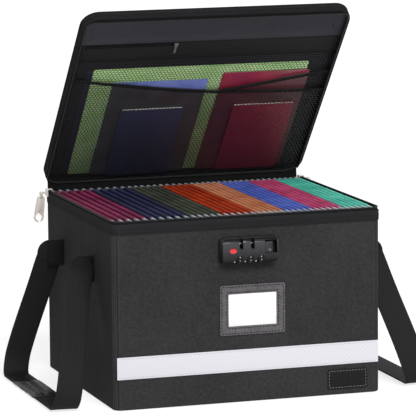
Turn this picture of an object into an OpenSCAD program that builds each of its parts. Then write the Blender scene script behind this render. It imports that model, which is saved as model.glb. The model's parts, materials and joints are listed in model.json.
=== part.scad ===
// Portable file box: a fabric-covered box with hanging files, a zipped lid with
// mesh pockets, a combination lock for the zip pulls and two webbing straps.
// Millimetres. Front is -Y, up is +Z. The origin is the centre of the base's underside.
// The lid stands open at lid_open; the straps lie out on the surface the box stands on.

/* [Box] */
// Width of the box, left to right
box_w = 378; // [360:1:410]
// Depth of the box, front to back
box_d = 330; // [325:1:360]
// Height of the box to the top of its zip teeth
box_h = 255; // [245:1:290]
// Radius of the vertical edges
corner_r = 12; // [12:1:20]
// Thickness of the woven outer fabric
fabric_t = 1; // [0.8:0.1:1.4]
// Thickness of the stiff boards in the walls
board_t = 2.5; // [2:0.1:3.2]
// Thickness of the inner lining
lining_t = 0.7; // [0.5:0.1:1]
// Thickness of the loose base board
insert_t = 3; // [2:0.5:4]
// Width of the folding crease down each side wall
crease_w = 1.6; // [1:0.2:3]
// Depth of that crease in the fabric
crease_depth = 0.5; // [0.3:0.1:0.6]

/* [Rim and zip] */
// Height of the binding band round the top edge
binding_h = 14; // [10:1:18]
// Height of the binding on the inside
binding_in_h = 10; // [8:1:12]
// Thickness of the binding
binding_t = 0.8; // [0.6:0.1:1]
// Height of the zip tape that stands on the rim
tape_h = 3.2; // [2.5:0.1:4]
// Thickness of the zip tape
tape_t = 1; // [0.8:0.1:1.2]
// Width of the bead of zip teeth
teeth_w = 2; // [1.6:0.1:2.4]
// Height of the bead of zip teeth
teeth_h = 1.4; // [1:0.1:1.8]
// How far the teeth stand in from the outer face of the box
tape_in = 0.8; // [0.6:0.1:1.4]

/* [Lid] */
// How far the lid is open in the rest pose, in degrees
lid_open = 48.5; // [40:0.5:60]
// How far the lid stands out past each side
lid_side_over = 3; // [2.5:0.5:5]
// How far the lid stands out past the front
lid_front_over = 6; // [3:1:8]
// Height of the lid's side band
lid_depth = 14; // [13:1:18]
// Radius of the lid's corners
lid_corner_r = 24; // [20:1:28]
// Thickness of the lid's side band
gusset_t = 1.2; // [1:0.1:1.5]
// Thickness of the board in the lid
lid_board_t = 2; // [1.5:0.1:2.5]
// Height of the lower piping round the lid
piping_h = 5; // [3:0.5:6]
// Distance of the hinge line behind the back wall
hinge_back = 4; // [3.5:0.1:5]
// Height of the hinge line above the zip teeth
hinge_up = 3; // [2.5:0.1:4]
// How far the hinge tape reaches down the back of the rim
hinge_skirt = 22; // [16:1:26]

/* [Lid pockets] */
// Distance from the hinge to the top hem of the large mesh pocket
mesh_top = 250; // [240:1:255]
// Thickness of the mesh
mesh_t = 0.5; // [0.4:0.1:0.6]
// Distance from the hinge to the front pocket's elastic at the left
elastic_left = 219; // [210:1:225]
// Distance from the hinge to the front pocket's elastic at its middle sag
elastic_mid = 182; // [175:1:200]
// Distance from the hinge to the front pocket's elastic at the right
elastic_right = 216; // [200:1:222]
// Distance from the hinge to the right pocket's lower elastic
low_elastic = 177; // [165:1:180]
// Width of the elastic edging
elastic_w = 5; // [4:0.5:7]
// Thickness of the elastic edging
elastic_t = 1.1; // [0.8:0.1:1.4]
// Distance from the hinge to the header pocket's zip
header_zip_v = 277; // [262:1:280]
// Length of the header pocket's zip
header_zip_len = 132; // [100:1:150]
// Thickness of the header panel
header_t = 1.2; // [0.8:0.1:1.6]

/* [Papers in the lid] */
// Width of the large folder
folder_w = 312; // [280:1:320]
// Height of the large folder
folder_h = 216; // [210:1:235]
// Thickness of the large folder
folder_t = 1.2; // [0.8:0.1:1.3]
// Width of the left card folder
card_left_w = 138; // [120:1:145]
// Width of the right card folder
card_right_w = 127; // [115:1:140]
// Distance between the two card folders
card_space = 20; // [8:1:30]
// Height of the left card folder
card_left_h = 190; // [180:1:205]
// Height of the right card folder
card_right_h = 201; // [180:1:210]
// Thickness of each card folder
card_t = 1; // [0.6:0.1:1.2]
// Width of each booklet
booklet_w = 90; // [80:1:96]
// Height of each booklet
booklet_h = 136; // [120:1:140]
// Thickness of each booklet
booklet_t = 2.8; // [2:0.1:3]
// Place of the line halfway between the card folders, to the right of the centre
card_mid = 23; // [10:1:30]
// Distance of the left booklet's centre from the lid's left edge
navy_side = 135; // [125:1:145]
// Distance of the right booklet's centre from the lid's right edge
wine_side = 86; // [78:1:100]

/* [Hanging files] */
// Folders of each colour
per_colour = 5; // [4:1:5]
// How loosely each colour's folders hang, from the left, next to one another
looseness = [11.3, 11.5, 9.2, 9.5, 8.1, 8.4, 8.5, 8.1];
// Thickness of one closed folder, two leaves
leaf_pair_t = 1; // [0.8:0.1:1.6]
// Width across the two folds that hold the rods
fold_w = 3.8; // [3.4:0.1:4.6]
// Height of those folds
fold_h = 8; // [7:0.5:10]
// How far the folders' top edges lie below the zip teeth
file_drop = 1.5; // [1:0.5:4]
// Height of the folders
file_h = 230; // [200:1:232]
// Thickness of a hanging rod
rod_t = 0.8; // [0.6:0.1:1]
// Height of a hanging rod
rod_h = 4.8; // [4:0.1:5.2]
// Depth of the notch that hooks over the rail
notch_h = 3; // [2:0.1:3.4]
// Thickness of the rail's standing lip
rail_lip_t = 2; // [1.5:0.1:2.4]
// Thickness of the rail's web
rail_t = 1; // [0.8:0.1:1.2]
// Gap between the rail's lip and its back
rail_gap = 3.1; // [2.8:0.1:3.6]
// Depth of the rail's channel
rail_channel = 7; // [6:0.5:9]

/* [Front trim] */
// Height of the bottom edge of the reflective stripe
stripe_z = 42; // [30:1:50]
// Height of the reflective stripe
stripe_h = 30; // [20:1:40]
// Thickness of trim sewn to the front
trim_t = 0.7; // [0.5:0.1:1]
// Width of the label holder
label_w = 92; // [80:1:110]
// Height of the label holder
label_h = 68; // [60:1:76]
// Thickness of the label holder
label_t = 1.5; // [1.2:0.1:2]
// Width of the border round the label
label_border = 12; // [10:0.5:14]
// Height of the label holder's centre
label_z = 126; // [122:1:130]
// Place of the label holder, to the right of the centre
label_x = 5; // [-20:1:20]
// Width of the corner patch
patch_w = 57; // [45:1:65]
// Height of the corner patch
patch_h = 27; // [20:1:30]
// Distance of the patch from the right edge
patch_side = 20; // [18:1:40]
// Height of the patch's bottom edge
patch_z = 8; // [5:1:11]

/* [Lock] */
// Width of the lock
lock_w = 78; // [77:1:90]
// Height of the lock
lock_h = 33; // [31:1:38]
// How far the lock stands out from its back plate
lock_t = 14; // [13:0.5:18]
// Place of the lock, to the right of the centre
lock_x = -2; // [-10:0.1:15]
// Distance of the lock's centre below the zip teeth
lock_drop = 47.5; // [42:0.5:52]
// Thickness of the lock's back plate
plate_t = 1.2; // [1:0.1:2]
// Radius of the number dials
dial_r = 6.8; // [6.4:0.1:6.8]
// Width of a number dial
dial_w = 7.4; // [6:0.1:8]
// Distance between the dials
dial_pitch = 15; // [14:0.5:16]
// Radius of the dials' axle
axle_r = 1.5; // [1.2:0.1:2]
// Width of the slots for the zip pulls
pull_slot_w = 5.4; // [5:0.1:6]
// Depth of those slots from the top edge
pull_slot_h = 14; // [12:0.5:15]
// Travel of the release button
release_travel = 4; // [3:0.5:4]

/* [Straps] */
// Width of the strap webbing
strap_w = 36; // [30:1:38]
// Thickness of the strap webbing
strap_t = 2; // [1.6:0.1:2.4]
// Distance of each strap end from the middle of the side wall
anchor_y = 75.8; // [60:0.1:85]
// Height of the strap's swing line
anchor_z = 178; // [165:1:190]
// How far the strap leans out, in degrees
strap_lean = 14; // [8:1:16]
// Distance of the strap's rear bend from the middle
bend_y = 120; // [105:1:130]
// How much further out the front bend lies
bend_forward = 30; // [0:1:35]
// Radius of the strap's bends on the surface
bend_r = 16; // [12:1:24]
// Length of the padded grip
grip_len = 110; // [90:1:125]
// Thickness of the padded grip
grip_t = 6.6; // [6:0.1:8]
// How far the grip is wider than the strap, each side
grip_side = 2.5; // [2:0.1:4]

/* [Zip pulls] */
// Length of a zip slider
slider_len = 10; // [8:0.5:12]
// Distance of the parked sliders from the back face
slider_back = 15; // [14:0.5:20]
// Length of a zip pull from its pin
pull_len = 42; // [30:1:44]
// Width of a zip pull
pull_w = 14.5; // [11:0.5:15]
// Thickness of a zip pull
pull_t = 1.6; // [1.2:0.1:2]
// How far a zip pull hangs outward, in degrees
pull_lean = 8; // [4:1:12]
// Radius of the zip pull's pin
pull_pin_r = 0.9; // [0.7:0.05:1]

/* [Hidden] */
$fn = 48;
layer_gap = 0.05;
trim_gap = 0.1;
run_gap = 0.3;
COLOURS = ["#6e2f48", "#262a4e", "#3c4136", "#b4380f", "#c8825f", "#4f63b8", "#a8376b", "#3fae9c"];

// Heights of the rim, from the top down.
rim_z = box_h - tape_h - teeth_h;
wall_top = rim_z - binding_t;
wall_t = fabric_t + board_t + lining_t + 2 * layer_gap;
floor_z = fabric_t + lining_t + layer_gap;
inner_w = box_w - 2 * (wall_t + binding_t + layer_gap);
inner_d = box_d - 2 * (wall_t + binding_t + layer_gap);
// The lining turns its corners tighter than the fabric does.
lining_r = corner_r - 9;
inner_r = lining_r - lining_t - binding_t;

// Hinge line of the lid, and the lid's size from it.
hinge_y = box_d / 2 + hinge_back;
hinge_z = box_h + hinge_up;
lid_w = box_w + 2 * lid_side_over;
lid_len = box_d + hinge_back + lid_front_over;
hinge_bead_r = 1;
lid_back = hinge_bead_r + run_gap;
lid_rise = 0.2;
piping_t = 1;
lid_in_w = lid_w - 2 * (piping_t + gusset_t);
lining_face = lid_depth - fabric_t - lid_board_t - lining_t - 2 * layer_gap;

// Levels in the lid, each counted down from the lining's face.
folder_level = lining_face - 0.3 - folder_t;
mesh_level = folder_level - 0.3 - mesh_t;
card_level = mesh_level - 0.3 - card_t;
booklet_level = card_level - 0.3 - booklet_t;
front_mesh_level = booklet_level - 0.3 - mesh_t;
header_level = mesh_level - header_t;
header_zip_t = 0.8;
pocket_foot = 12;
elastic_join = 33;

// Hanging files.
file_top = box_h - file_drop;
file_count = 8 * per_colour;
rod_top = file_top - 0.9;
rod_clear = 0.05;
rail_back = inner_d / 2 - 0.4;
rail_lip_y = rail_back - rail_t - rail_gap - rail_lip_t;
rail_corner = inner_r + rail_back - inner_d / 2;
rail_half = inner_w / 2 - inner_r + sqrt(inner_r * inner_r - rail_corner * rail_corner) - 0.1;
rod_half = rail_back - rail_t - 0.6;
leaf_half = rail_lip_y - 4.8;
file_span = 2 * rail_half + 0.6 - fold_w;

// Lock.
lock_z = box_h - lock_drop;
lock_face = -box_d / 2 - trim_gap;
plate_face = lock_face - plate_t;
lock_r = 7;
lock_end_r = 4.5;
dial_proud = 0.7;
dial_y = plate_face - lock_t + dial_r - dial_proud;
dial_z = lock_z - lock_h / 2 + dial_r - dial_proud;
axle_clear = 0.05;
slot_x = [-13, 3];
inlay_x = -24.6;
inlay_r = 3.4;
latch_z = lock_z + lock_h / 2 - 7;
latch_y = plate_face - lock_t / 2 + 2;
latch_t = 2;
thumb_x = 28.5;
thumb_w = 16;
thumb_h = 16;

// Straps.
strap_out = strap_w / 2 + 1.5;
swing_x = box_w / 2 + strap_out;
foot_x = swing_x + (anchor_z - grip_t / 2) * tan(strap_lean);
strap_foot = grip_t / 2;
anchor_gap = 0.5;
strap_lap = strap_t + anchor_gap;

// Zip sliders and pulls.
teeth_x = box_w / 2 - tape_in - tape_t / 2;
slider_y = box_d / 2 - slider_back;
pull_out = 10.5;
pull_x = box_w / 2 + pull_out;
pull_z = rim_z + 0.6;
lug_t = 2.4;
pull_eye = 0.05;

// ---------- shared shapes ----------

// A centred rectangle with true round corners.
module rounded(w, d, r) {
    square([w - 2 * r, d], center = true);
    square([w, d - 2 * r], center = true);
    for (sx = [-1, 1], sy = [-1, 1])
        translate([sx * (w / 2 - r), sy * (d / 2 - r)]) circle(r);
}

// The wall of such a rectangle, t thick.
module ring(w, d, r, t) {
    difference() {
        rounded(w, d, r);
        rounded(w - 2 * t, d - 2 * t, max(r - t, 1));
    }
}

// A ring of the box's plan, its outer face inset from the box's outer face.
module box_ring(inset, t) {
    ring(box_w - 2 * inset, box_d - 2 * inset, corner_r - inset, t);
}

// Puts a shape drawn on the closed lid into the open lid. There the origin is the
// hinge line, +Y runs to the lid's front edge and +Z from the inside to the outside.
module on_lid() {
    translate([0, hinge_y, hinge_z])
        rotate([-lid_open, 0, 0])
            mirror([0, 1, 0]) children();
}

// The lid's plan, drawn in by inset all round.
module lid_plan(inset) {
    centre_v = (lid_back + lid_len) / 2;
    translate([0, centre_v])
        rounded(lid_w - 2 * inset, lid_len - lid_back - 2 * inset, lid_corner_r - inset);
}

module lid_ring(inset, t) {
    difference() {
        lid_plan(inset);
        lid_plan(inset + t);
    }
}

// A flat sheet in the lid between two distances from the hinge.
module lid_sheet(level, t, v0, v1, inset) {
    translate([0, 0, level]) linear_extrude(t)
        intersection() {
            lid_plan(inset);
            translate([-lid_w, v0]) square([2 * lid_w, v1 - v0]);
        }
}

// ---------- the box ----------

module crease(side) {
    translate([side * box_w / 2 - crease_depth, -crease_w / 2, floor_z + insert_t])
        cube([2 * crease_depth, crease_w, box_h]);
}

module anchor_slot(side, y_side) {
    slot_y = anchor_y - strap_lap;
    slot_h = strap_w + 0.4;
    translate([side * box_w / 2 - fabric_t - 1, y_side * slot_y - strap_t / 2 - 0.1,
               anchor_z - slot_h / 2]) cube([fabric_t + 2, strap_t + 0.2, slot_h]);
}

module fabric_shell() {
    color("#3a393b") difference() {
        union() {
            linear_extrude(fabric_t) rounded(box_w, box_d, corner_r);
            linear_extrude(wall_top) box_ring(0, fabric_t);
        }
        for (side = [-1, 1]) {
            crease(side);
            for (y_side = [-1, 1]) anchor_slot(side, y_side);
        }
    }
}

// A board that stands against the inside of the fabric, on the fabric base.
module board(length) {
    translate([-length / 2, 0, fabric_t + layer_gap])
        cube([length, board_t, wall_top - fabric_t - 2 * layer_gap]);
}

module front_board() {
    color("#8a7a62") translate([0, -box_d / 2 + fabric_t + layer_gap, 0])
        board(box_w - 2 * corner_r);
}

module back_board() {
    color("#8a7a62") translate([0, box_d / 2 - fabric_t - layer_gap - board_t, 0])
        board(box_w - 2 * corner_r);
}

// Two boards a side, which leave the crease between them free to fold.
module side_boards(side) {
    length = box_d / 2 - corner_r - crease_w;
    x = side * (box_w / 2 - fabric_t - layer_gap - board_t / 2);
    color("#8a7a62") for (half = [-1, 1])
        translate([x, half * (crease_w + length / 2), 0])
            rotate([0, 0, 90]) translate([0, -board_t / 2, 0]) board(length);
}

module left_boards() { side_boards(-1); }

module right_boards() { side_boards(1); }

module inner_lining() {
    inset = fabric_t + board_t + 2 * layer_gap;
    color("#2c2c2e") union() {
        translate([0, 0, fabric_t + layer_gap]) linear_extrude(lining_t)
            rounded(box_w - 2 * inset, box_d - 2 * inset, lining_r);
        translate([0, 0, fabric_t + layer_gap]) linear_extrude(wall_top - fabric_t - 2 * layer_gap)
            ring(box_w - 2 * inset, box_d - 2 * inset, lining_r, lining_t);
    }
}

module base_insert() {
    inset = wall_t + 1;
    color("#2b2b2d") translate([0, 0, floor_z + layer_gap]) linear_extrude(insert_t)
        rounded(box_w - 2 * inset, box_d - 2 * inset, lining_r - lining_t);
}

module rim_binding() {
    out = binding_t + layer_gap;
    in_w = inner_w + 2 * binding_t;
    in_d = inner_d + 2 * binding_t;
    color("#2a2a2b") union() {
        translate([0, 0, rim_z - binding_h]) linear_extrude(binding_h) box_ring(-out, binding_t);
        translate([0, 0, wall_top + layer_gap]) linear_extrude(binding_t - layer_gap) difference() {
            rounded(box_w + 2 * out, box_d + 2 * out, corner_r + out);
            rounded(inner_w, inner_d, inner_r);
        }
        translate([0, 0, rim_z - binding_in_h]) linear_extrude(binding_in_h)
            ring(in_w, in_d, inner_r + binding_t, binding_t);
    }
}

// The back of the zip's path, where the box has no teeth.
module open_back(reach) {
    translate([-reach, box_d / 2 - corner_r / 2]) square([2 * reach, box_d]);
}

module box_zip_tape() {
    color("#1f1f20") union() {
        translate([0, 0, rim_z + layer_gap]) linear_extrude(tape_h)
            difference() { box_ring(tape_in, tape_t); open_back(box_w); }
        translate([0, 0, rim_z + tape_h]) linear_extrude(teeth_h)
            difference() {
                box_ring(tape_in + tape_t / 2 - teeth_w / 2, teeth_w);
                open_back(box_w);
            }
    }
}

// J-shaped rail: back strip, web and a standing lip that the rods hook over.
module rail() {
    lip_top = rod_top - rod_h + notch_h - 0.1;
    web_z = lip_top - rail_channel;
    color("#9aa0a6") translate([-rail_half, 0, 0]) rotate([90, 0, 90]) linear_extrude(2 * rail_half)
        polygon([
            [rail_back, web_z], [rail_back, lip_top],
            [rail_back - rail_t, lip_top], [rail_back - rail_t, web_z + rail_t],
            [rail_lip_y + rail_lip_t, web_z + rail_t], [rail_lip_y + rail_lip_t, lip_top],
            [rail_lip_y, lip_top], [rail_lip_y, web_z]
        ]);
}

module rear_rail() { rail(); }

module front_rail() { mirror([0, 1, 0]) rail(); }

// ---------- hanging files ----------

// Folder i's place along the row, counted in the units of looseness.
function loose_before(group) =
    group == 0 ? 0 : loose_before(group - 1) + per_colour * looseness[group - 1];
function file_place(i) = let (group = floor(i / per_colour))
    loose_before(group) + looseness[group] * (i - group * per_colour + 0.5);
function file_x(i) =
    let (first = file_place(0), last = file_place(file_count - 1))
    file_span * ((file_place(i) - first) / (last - first) - 0.5);

// A closed hanging folder seen from the front: two leaves, each folded over a rod.
module folder_profile() {
    half = fold_w / 2;
    slit = 0.2;
    rod_x = half / 2;
    difference() {
        polygon([
            [-leaf_pair_t / 2, file_top - file_h], [leaf_pair_t / 2, file_top - file_h],
            [leaf_pair_t / 2, file_top - fold_h - 4], [half, file_top - fold_h],
            [half, file_top], [slit, file_top], [0, file_top - fold_h],
            [-slit, file_top], [-half, file_top],
            [-half, file_top - fold_h], [-leaf_pair_t / 2, file_top - fold_h - 4]
        ]);
        for (s = [-1, 1])
            translate([s * rod_x - rod_t / 2 - rod_clear, rod_top - rod_h - rod_clear])
                square([rod_t + 2 * rod_clear, rod_h + 2 * rod_clear]);
    }
}

module files(group) {
    color(COLOURS[group]) for (i = [0 : per_colour - 1])
        translate([file_x(group * per_colour + i), leaf_half, 0]) rotate([90, 0, 0])
            linear_extrude(2 * leaf_half) folder_profile();
}

module files_burgundy() { files(0); }
module files_navy() { files(1); }
module files_grey_green() { files(2); }
module files_orange() { files(3); }
module files_tan() { files(4); }
module files_blue() { files(5); }
module files_rose() { files(6); }
module files_teal() { files(7); }

// One flat rod with a hooked notch near each end, seen from the side.
module rod_profile() {
    low = rod_top - rod_h;
    difference() {
        translate([-rod_half, low]) square([2 * rod_half, rod_h]);
        for (s = [-1, 1])
            translate([s * (rail_lip_y + rail_lip_t / 2) - rail_lip_t / 2 - 0.6, low - 1])
                square([rail_lip_t + 1.2, notch_h + 1]);
    }
}

module file_rods() {
    color("#c8d0dc") for (i = [0 : file_count - 1], s = [-1, 1])
        translate([file_x(i) + s * fold_w / 4 - rod_t / 2, 0, 0])
            rotate([90, 0, 90]) linear_extrude(rod_t) rod_profile();
}

// ---------- trim on the front ----------

module on_front(x, z) {
    translate([x, -box_d / 2 - layer_gap, z]) rotate([90, 0, 0]) children();
}

module reflective_stripe() {
    color("#e4e4ea") on_front(0, stripe_z + stripe_h / 2)
        linear_extrude(trim_t) square([box_w - 2 * corner_r + 16, stripe_h], center = true);
}

module label_frame() {
    color("#5c5a5d") on_front(label_x, label_z) linear_extrude(label_t) difference() {
        rounded(label_w, label_h, 2);
        square([label_w - 2 * label_border, label_h - 2 * label_border], center = true);
    }
}

module label_card() {
    w = label_w - 2 * label_border;
    h = label_h - 2 * label_border;
    color("white") on_front(label_x, label_z) linear_extrude(label_t / 3)
        square([w - 2 * trim_gap, h - 2 * trim_gap], center = true);
}

module corner_patch() {
    color("#3d3c40") on_front(box_w / 2 - patch_side - patch_w / 2, patch_z + patch_h / 2)
        linear_extrude(1) rounded(patch_w, patch_h, 2);
}

// ---------- the lock ----------

module lock_backplate() {
    color("#141415") translate([lock_x, lock_face, lock_z]) rotate([90, 0, 0])
        linear_extrude(plate_t - layer_gap) rounded(lock_w + 4, lock_h + 3, 7);
}

// Side view of the lock: square at the back, round along its front edges.
module lock_side() {
    top = lock_z + lock_h / 2;
    low = lock_z - lock_h / 2;
    front = plate_face - lock_t;
    top_r = 6.5;
    translate([front + lock_r, low]) square([lock_t - lock_r, lock_h]);
    translate([front, low + lock_r]) square([lock_t, lock_h - lock_r - top_r]);
    translate([front + top_r, low + lock_r]) square([lock_t - top_r, lock_h - lock_r]);
    translate([front + lock_r, low + lock_r]) circle(lock_r);
    translate([front + top_r, top - top_r]) circle(top_r);
}

// What the round corners of the lock's front outline take away.
module lock_corners() {
    translate([lock_x, plate_face + 1, lock_z]) rotate([90, 0, 0]) linear_extrude(lock_t + 2)
        difference() {
            square([lock_w + 2, lock_h + 2], center = true);
            rounded(lock_w, lock_h, lock_end_r);
        }
}

function dial_x(i) = lock_x + (i - 1) * dial_pitch;

module dial_windows() {
    for (i = [0 : 2])
        translate([dial_x(i) - dial_w / 2 - run_gap, dial_y, dial_z])
            rotate([0, 90, 0]) cylinder(r = dial_r + run_gap, h = dial_w + 2 * run_gap);
}

module lock_housing() {
    front = plate_face - lock_t;
    color("#1a1a1c") difference() {
        translate([lock_x - lock_w / 2, 0, 0]) rotate([90, 0, 90])
            linear_extrude(lock_w) lock_side();
        lock_corners();
        dial_windows();
        // bore for the dials' axle, blind at both ends
        translate([dial_x(0) - dial_w / 2 - 5, dial_y, dial_z]) rotate([0, 90, 0])
            cylinder(r = axle_r + axle_clear, h = 2 * dial_pitch + dial_w + 10);
        // slots for the zip pulls
        for (x = slot_x)
            translate([lock_x + x - pull_slot_w / 2, front - 1, lock_z + lock_h / 2 - pull_slot_h])
                cube([pull_slot_w, lock_t - 2, pull_slot_h + 1]);
        // channel for the latch bar
        translate([lock_x + slot_x[0] - 10, latch_y - latch_t / 2 - run_gap, latch_z - latch_t / 2 - run_gap])
            cube([thumb_x - slot_x[0] + 12 + release_travel, latch_t + 2 * run_gap, latch_t + 2 * run_gap]);
        // recess for the thumb button
        translate([lock_x + thumb_x - thumb_w / 2, front - 1, latch_z - thumb_h + latch_t])
            cube([thumb_w + 1, latch_y - front + 2 + run_gap, thumb_h + 2]);
        // seat of the oval inlay
        translate([lock_x + inlay_x, front - 1, lock_z + 1]) rotate([-90, 0, 0])
            linear_extrude(1.6) scale([1.45, 1]) circle(inlay_r + 0.1, $fn = 32);
    }
}

module lock_inlay() {
    front = plate_face - lock_t;
    color("#d8262c") translate([lock_x + inlay_x, front - 0.4, lock_z + 1]) rotate([-90, 0, 0])
        linear_extrude(0.95) scale([1.45, 1]) circle(inlay_r, $fn = 32);
}

module dial_axle() {
    color("silver") translate([dial_x(0) - dial_w / 2 - 4.8, dial_y, dial_z]) rotate([0, 90, 0])
        cylinder(r = axle_r, h = 2 * dial_pitch + dial_w + 9.6);
}

// A number dial with ten finger notches round its rim.
module dial(i) {
    color("#222224") difference() {
        translate([dial_x(i) - dial_w / 2, dial_y, dial_z]) rotate([0, 90, 0]) difference() {
            cylinder(r = dial_r, h = dial_w);
            translate([0, 0, -1]) cylinder(r = axle_r + axle_clear, h = dial_w + 2);
            for (k = [0 : 9]) rotate([0, 0, 36 * k + 18])
                translate([dial_r + 0.3, 0, -1]) cylinder(r = 0.8, h = dial_w + 2, $fn = 16);
        }
    }
}

module dial_left() { dial(0); }
module dial_middle() { dial(1); }
module dial_right() { dial(2); }

// The thumb button, with a finger hollow, fixed to the end of the latch bar.
module release_slider() {
    front = plate_face - lock_t;
    w = thumb_w - release_travel - 2;
    back = latch_y - latch_t / 2 - layer_gap;
    color("#2a2a2c") translate([lock_x + thumb_x - thumb_w / 2 + 0.6, 0, latch_z - thumb_h + latch_t + 0.5])
        difference() {
            translate([0, front + 1, 0]) cube([w, back - front - 1, thumb_h - 1]);
            translate([w / 2, front - 5, thumb_h / 2]) rotate([0, 90, 0])
                cylinder(r = 8, h = w - 3, center = true);
        }
}

module latch_bar() {
    x0 = lock_x + slot_x[0] - pull_slot_w / 2 - 2;
    x1 = lock_x + thumb_x - thumb_w / 2 + thumb_w - release_travel - 2;
    color("#c9cbd0") translate([x0, latch_y - latch_t / 2, latch_z - latch_t / 2])
        cube([x1 - x0, latch_t, latch_t]);
}

// ---------- straps ----------

// The sewn end of the webbing that comes out of a slot in the side wall.
module strap_anchors(side) {
    y = anchor_y - strap_lap;
    reach = strap_out + 4;
    color("#19191a") for (y_side = [-1, 1])
        translate([side * (box_w / 2 - fabric_t), y_side * y - strap_t / 2, anchor_z - strap_w / 2])
            mirror([side < 0 ? 1 : 0, 0, 0]) cube([reach + fabric_t, strap_t, strap_w]);
}

module left_strap_anchors() { strap_anchors(-1); }

module right_strap_anchors() { strap_anchors(1); }

// Points of one strap leg and its bend, from the swing line down to the run on the
// surface: each is [how far down the leg, distance from the middle, width's tilt].
drop = anchor_z - strap_foot;
LEG_STEPS = 10;
BEND_STEPS = 8;
function mix(a, b, t) = a + (b - a) * t;
function ease(t) = t * t * (3 - 2 * t);
function leg_point(t, reach) =
    let (z = mix(anchor_z, strap_foot + bend_r, t))
    [swing_x + (anchor_z - z) * tan(strap_lean),
     mix(anchor_y, reach - 2, ease(t) * 0.5 + t * 0.5), z, strap_lean];
function bend_point(t, reach) =
    let (a = 90 * t, z = strap_foot + bend_r * (1 - sin(a)))
    [swing_x + (anchor_z - z) * tan(strap_lean),
     reach - 2 - bend_r * (1 - cos(a)) * 0.6, z, strap_lean * (1 - t)];
function half_path(reach) = concat(
    [for (i = [0 : LEG_STEPS]) leg_point(i / LEG_STEPS, reach)],
    [for (i = [1 : BEND_STEPS]) bend_point(i / BEND_STEPS, reach)],
    [[foot_x, grip_len / 2, strap_foot, 0]]);
function strap_path() =
    let (rear = half_path(bend_y), front = half_path(bend_y + bend_forward), n = len(front))
    concat(rear, [for (i = [n - 1 : -1 : 0])
        [front[i][0], -front[i][1], front[i][2], front[i][3]]]);
function unit(v) = v / norm(v);
function xyz(p) = [p[0], p[1], p[2]];
function strap_frame(path, i) =
    let (n = len(path), a = xyz(path[max(i - 1, 0)]), b = xyz(path[min(i + 1, n - 1)]),
         along = i == 0 ? [0, 0, -1] : i == n - 1 ? [0, 0, 1] : unit(b - a),
         tilt = path[i][3], wide = [cos(tilt), 0, sin(tilt)],
         face = unit(cross(along, wide)))
    [xyz(path[i]), wide * strap_w / 2, face * strap_t / 2];

// The swinging loop of webbing, with a round top at each end.
module strap() {
    path = strap_path();
    n = len(path);
    frames = [for (i = [0 : n - 1]) strap_frame(path, i)];
    points = [for (f = frames) each [
        f[0] + f[1] + f[2], f[0] - f[1] + f[2], f[0] - f[1] - f[2], f[0] + f[1] - f[2]]];
    sides = [for (i = [0 : n - 2], k = [0 : 3]) let (m = (k + 1) % 4)
        each [[4 * i + k, 4 * i + 4 + m, 4 * i + m], [4 * i + k, 4 * i + 4 + k, 4 * i + 4 + m]]];
    ends = [[0, 1, 2], [0, 2, 3], [4 * n - 2, 4 * n - 3, 4 * n - 4], [4 * n - 1, 4 * n - 2, 4 * n - 4]];
    union() {
        polyhedron(points, concat(sides, ends));
        for (s = [-1, 1]) translate([swing_x, s * anchor_y, anchor_z])
            rotate([90, 0, 0]) cylinder(r = strap_w / 2, h = strap_t, center = true);
    }
}

module right_strap() { color("#19191a") strap(); }

module left_strap() { color("#19191a") mirror([1, 0, 0]) strap(); }

// The padded sleeve round the left strap's run, with a slot the webbing passes through.
module left_grip() {
    w = strap_w + 2 * grip_side;
    color("#3c3d40") translate([-foot_x, grip_len / 2 - 2, grip_t / 2]) rotate([90, 0, 0])
        linear_extrude(grip_len - 4) difference() {
            rounded(w, grip_t, 2.2);
            square([strap_w + 0.6, strap_t + 0.6], center = true);
        }
}

// ---------- zip sliders and pulls ----------

// Drawn for the right side of the box.
module zip_slider() {
    out = box_w / 2 + binding_t + layer_gap + run_gap;
    in_x = teeth_x - teeth_w / 2 - 1.7;
    top = box_h + 0.2;
    half = slider_len / 2;
    translate([0, slider_y, 0]) difference() {
        union() {
            translate([out, -half, rim_z - 5]) cube([2, slider_len, top + 1 - rim_z + 5]);
            translate([in_x - 1, -half, top]) cube([out + 2 - in_x + 1, slider_len, 1]);
            translate([in_x - 1, -half, rim_z + run_gap]) cube([1, slider_len, top + 1 - rim_z - run_gap]);
            translate([out + 1, -lug_t / 2, pull_z - 1.8]) cube([pull_x - out + 1, lug_t, 3.6]);
            translate([pull_x + 0.4, lug_t / 2, pull_z]) rotate([90, 0, 0]) cylinder(r = 1.8, h = lug_t);
        }
        translate([pull_x, lug_t, pull_z]) rotate([90, 0, 0])
            cylinder(r = pull_pin_r + pull_eye, h = 2 * lug_t);
    }
}

// A flat tab that faces the front, with an eye at its end. Two cheeks hang it on a pin
// through the slider's lug.
module zip_pull() {
    cheek_t = 1.2;
    cheek_y = lug_t / 2 + run_gap + 0.1;
    cheek_w = 3.6;
    neck = 6;
    neck_h = 2.2;
    tab_len = pull_len - neck + 1;
    eye_z = pull_w / 2 - tab_len;
    translate([pull_x, slider_y, pull_z]) {
        rotate([90, 0, 0]) cylinder(r = pull_pin_r, h = 2 * (cheek_y + cheek_t), center = true);
        for (s = [-1, 1])
            translate([-cheek_w / 2, s * (cheek_y + cheek_t / 2) - cheek_t / 2, -neck])
                cube([cheek_w, cheek_t, neck + cheek_w / 2]);
        translate([-cheek_w / 2, -cheek_y - cheek_t, -neck])
            cube([cheek_w, 2 * (cheek_y + cheek_t), neck_h]);
        translate([0, 0, 1 - neck]) rotate([0, -pull_lean, 0]) rotate([90, 0, 0])
            linear_extrude(pull_t, center = true) difference() {
                hull() {
                    translate([0, 1.2 - 0.42 * pull_w]) circle(0.42 * pull_w);
                    translate([0, eye_z]) circle(pull_w / 2);
                }
                translate([0, eye_z]) circle(pull_w / 2 - 2.8);
            }
    }
}

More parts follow.
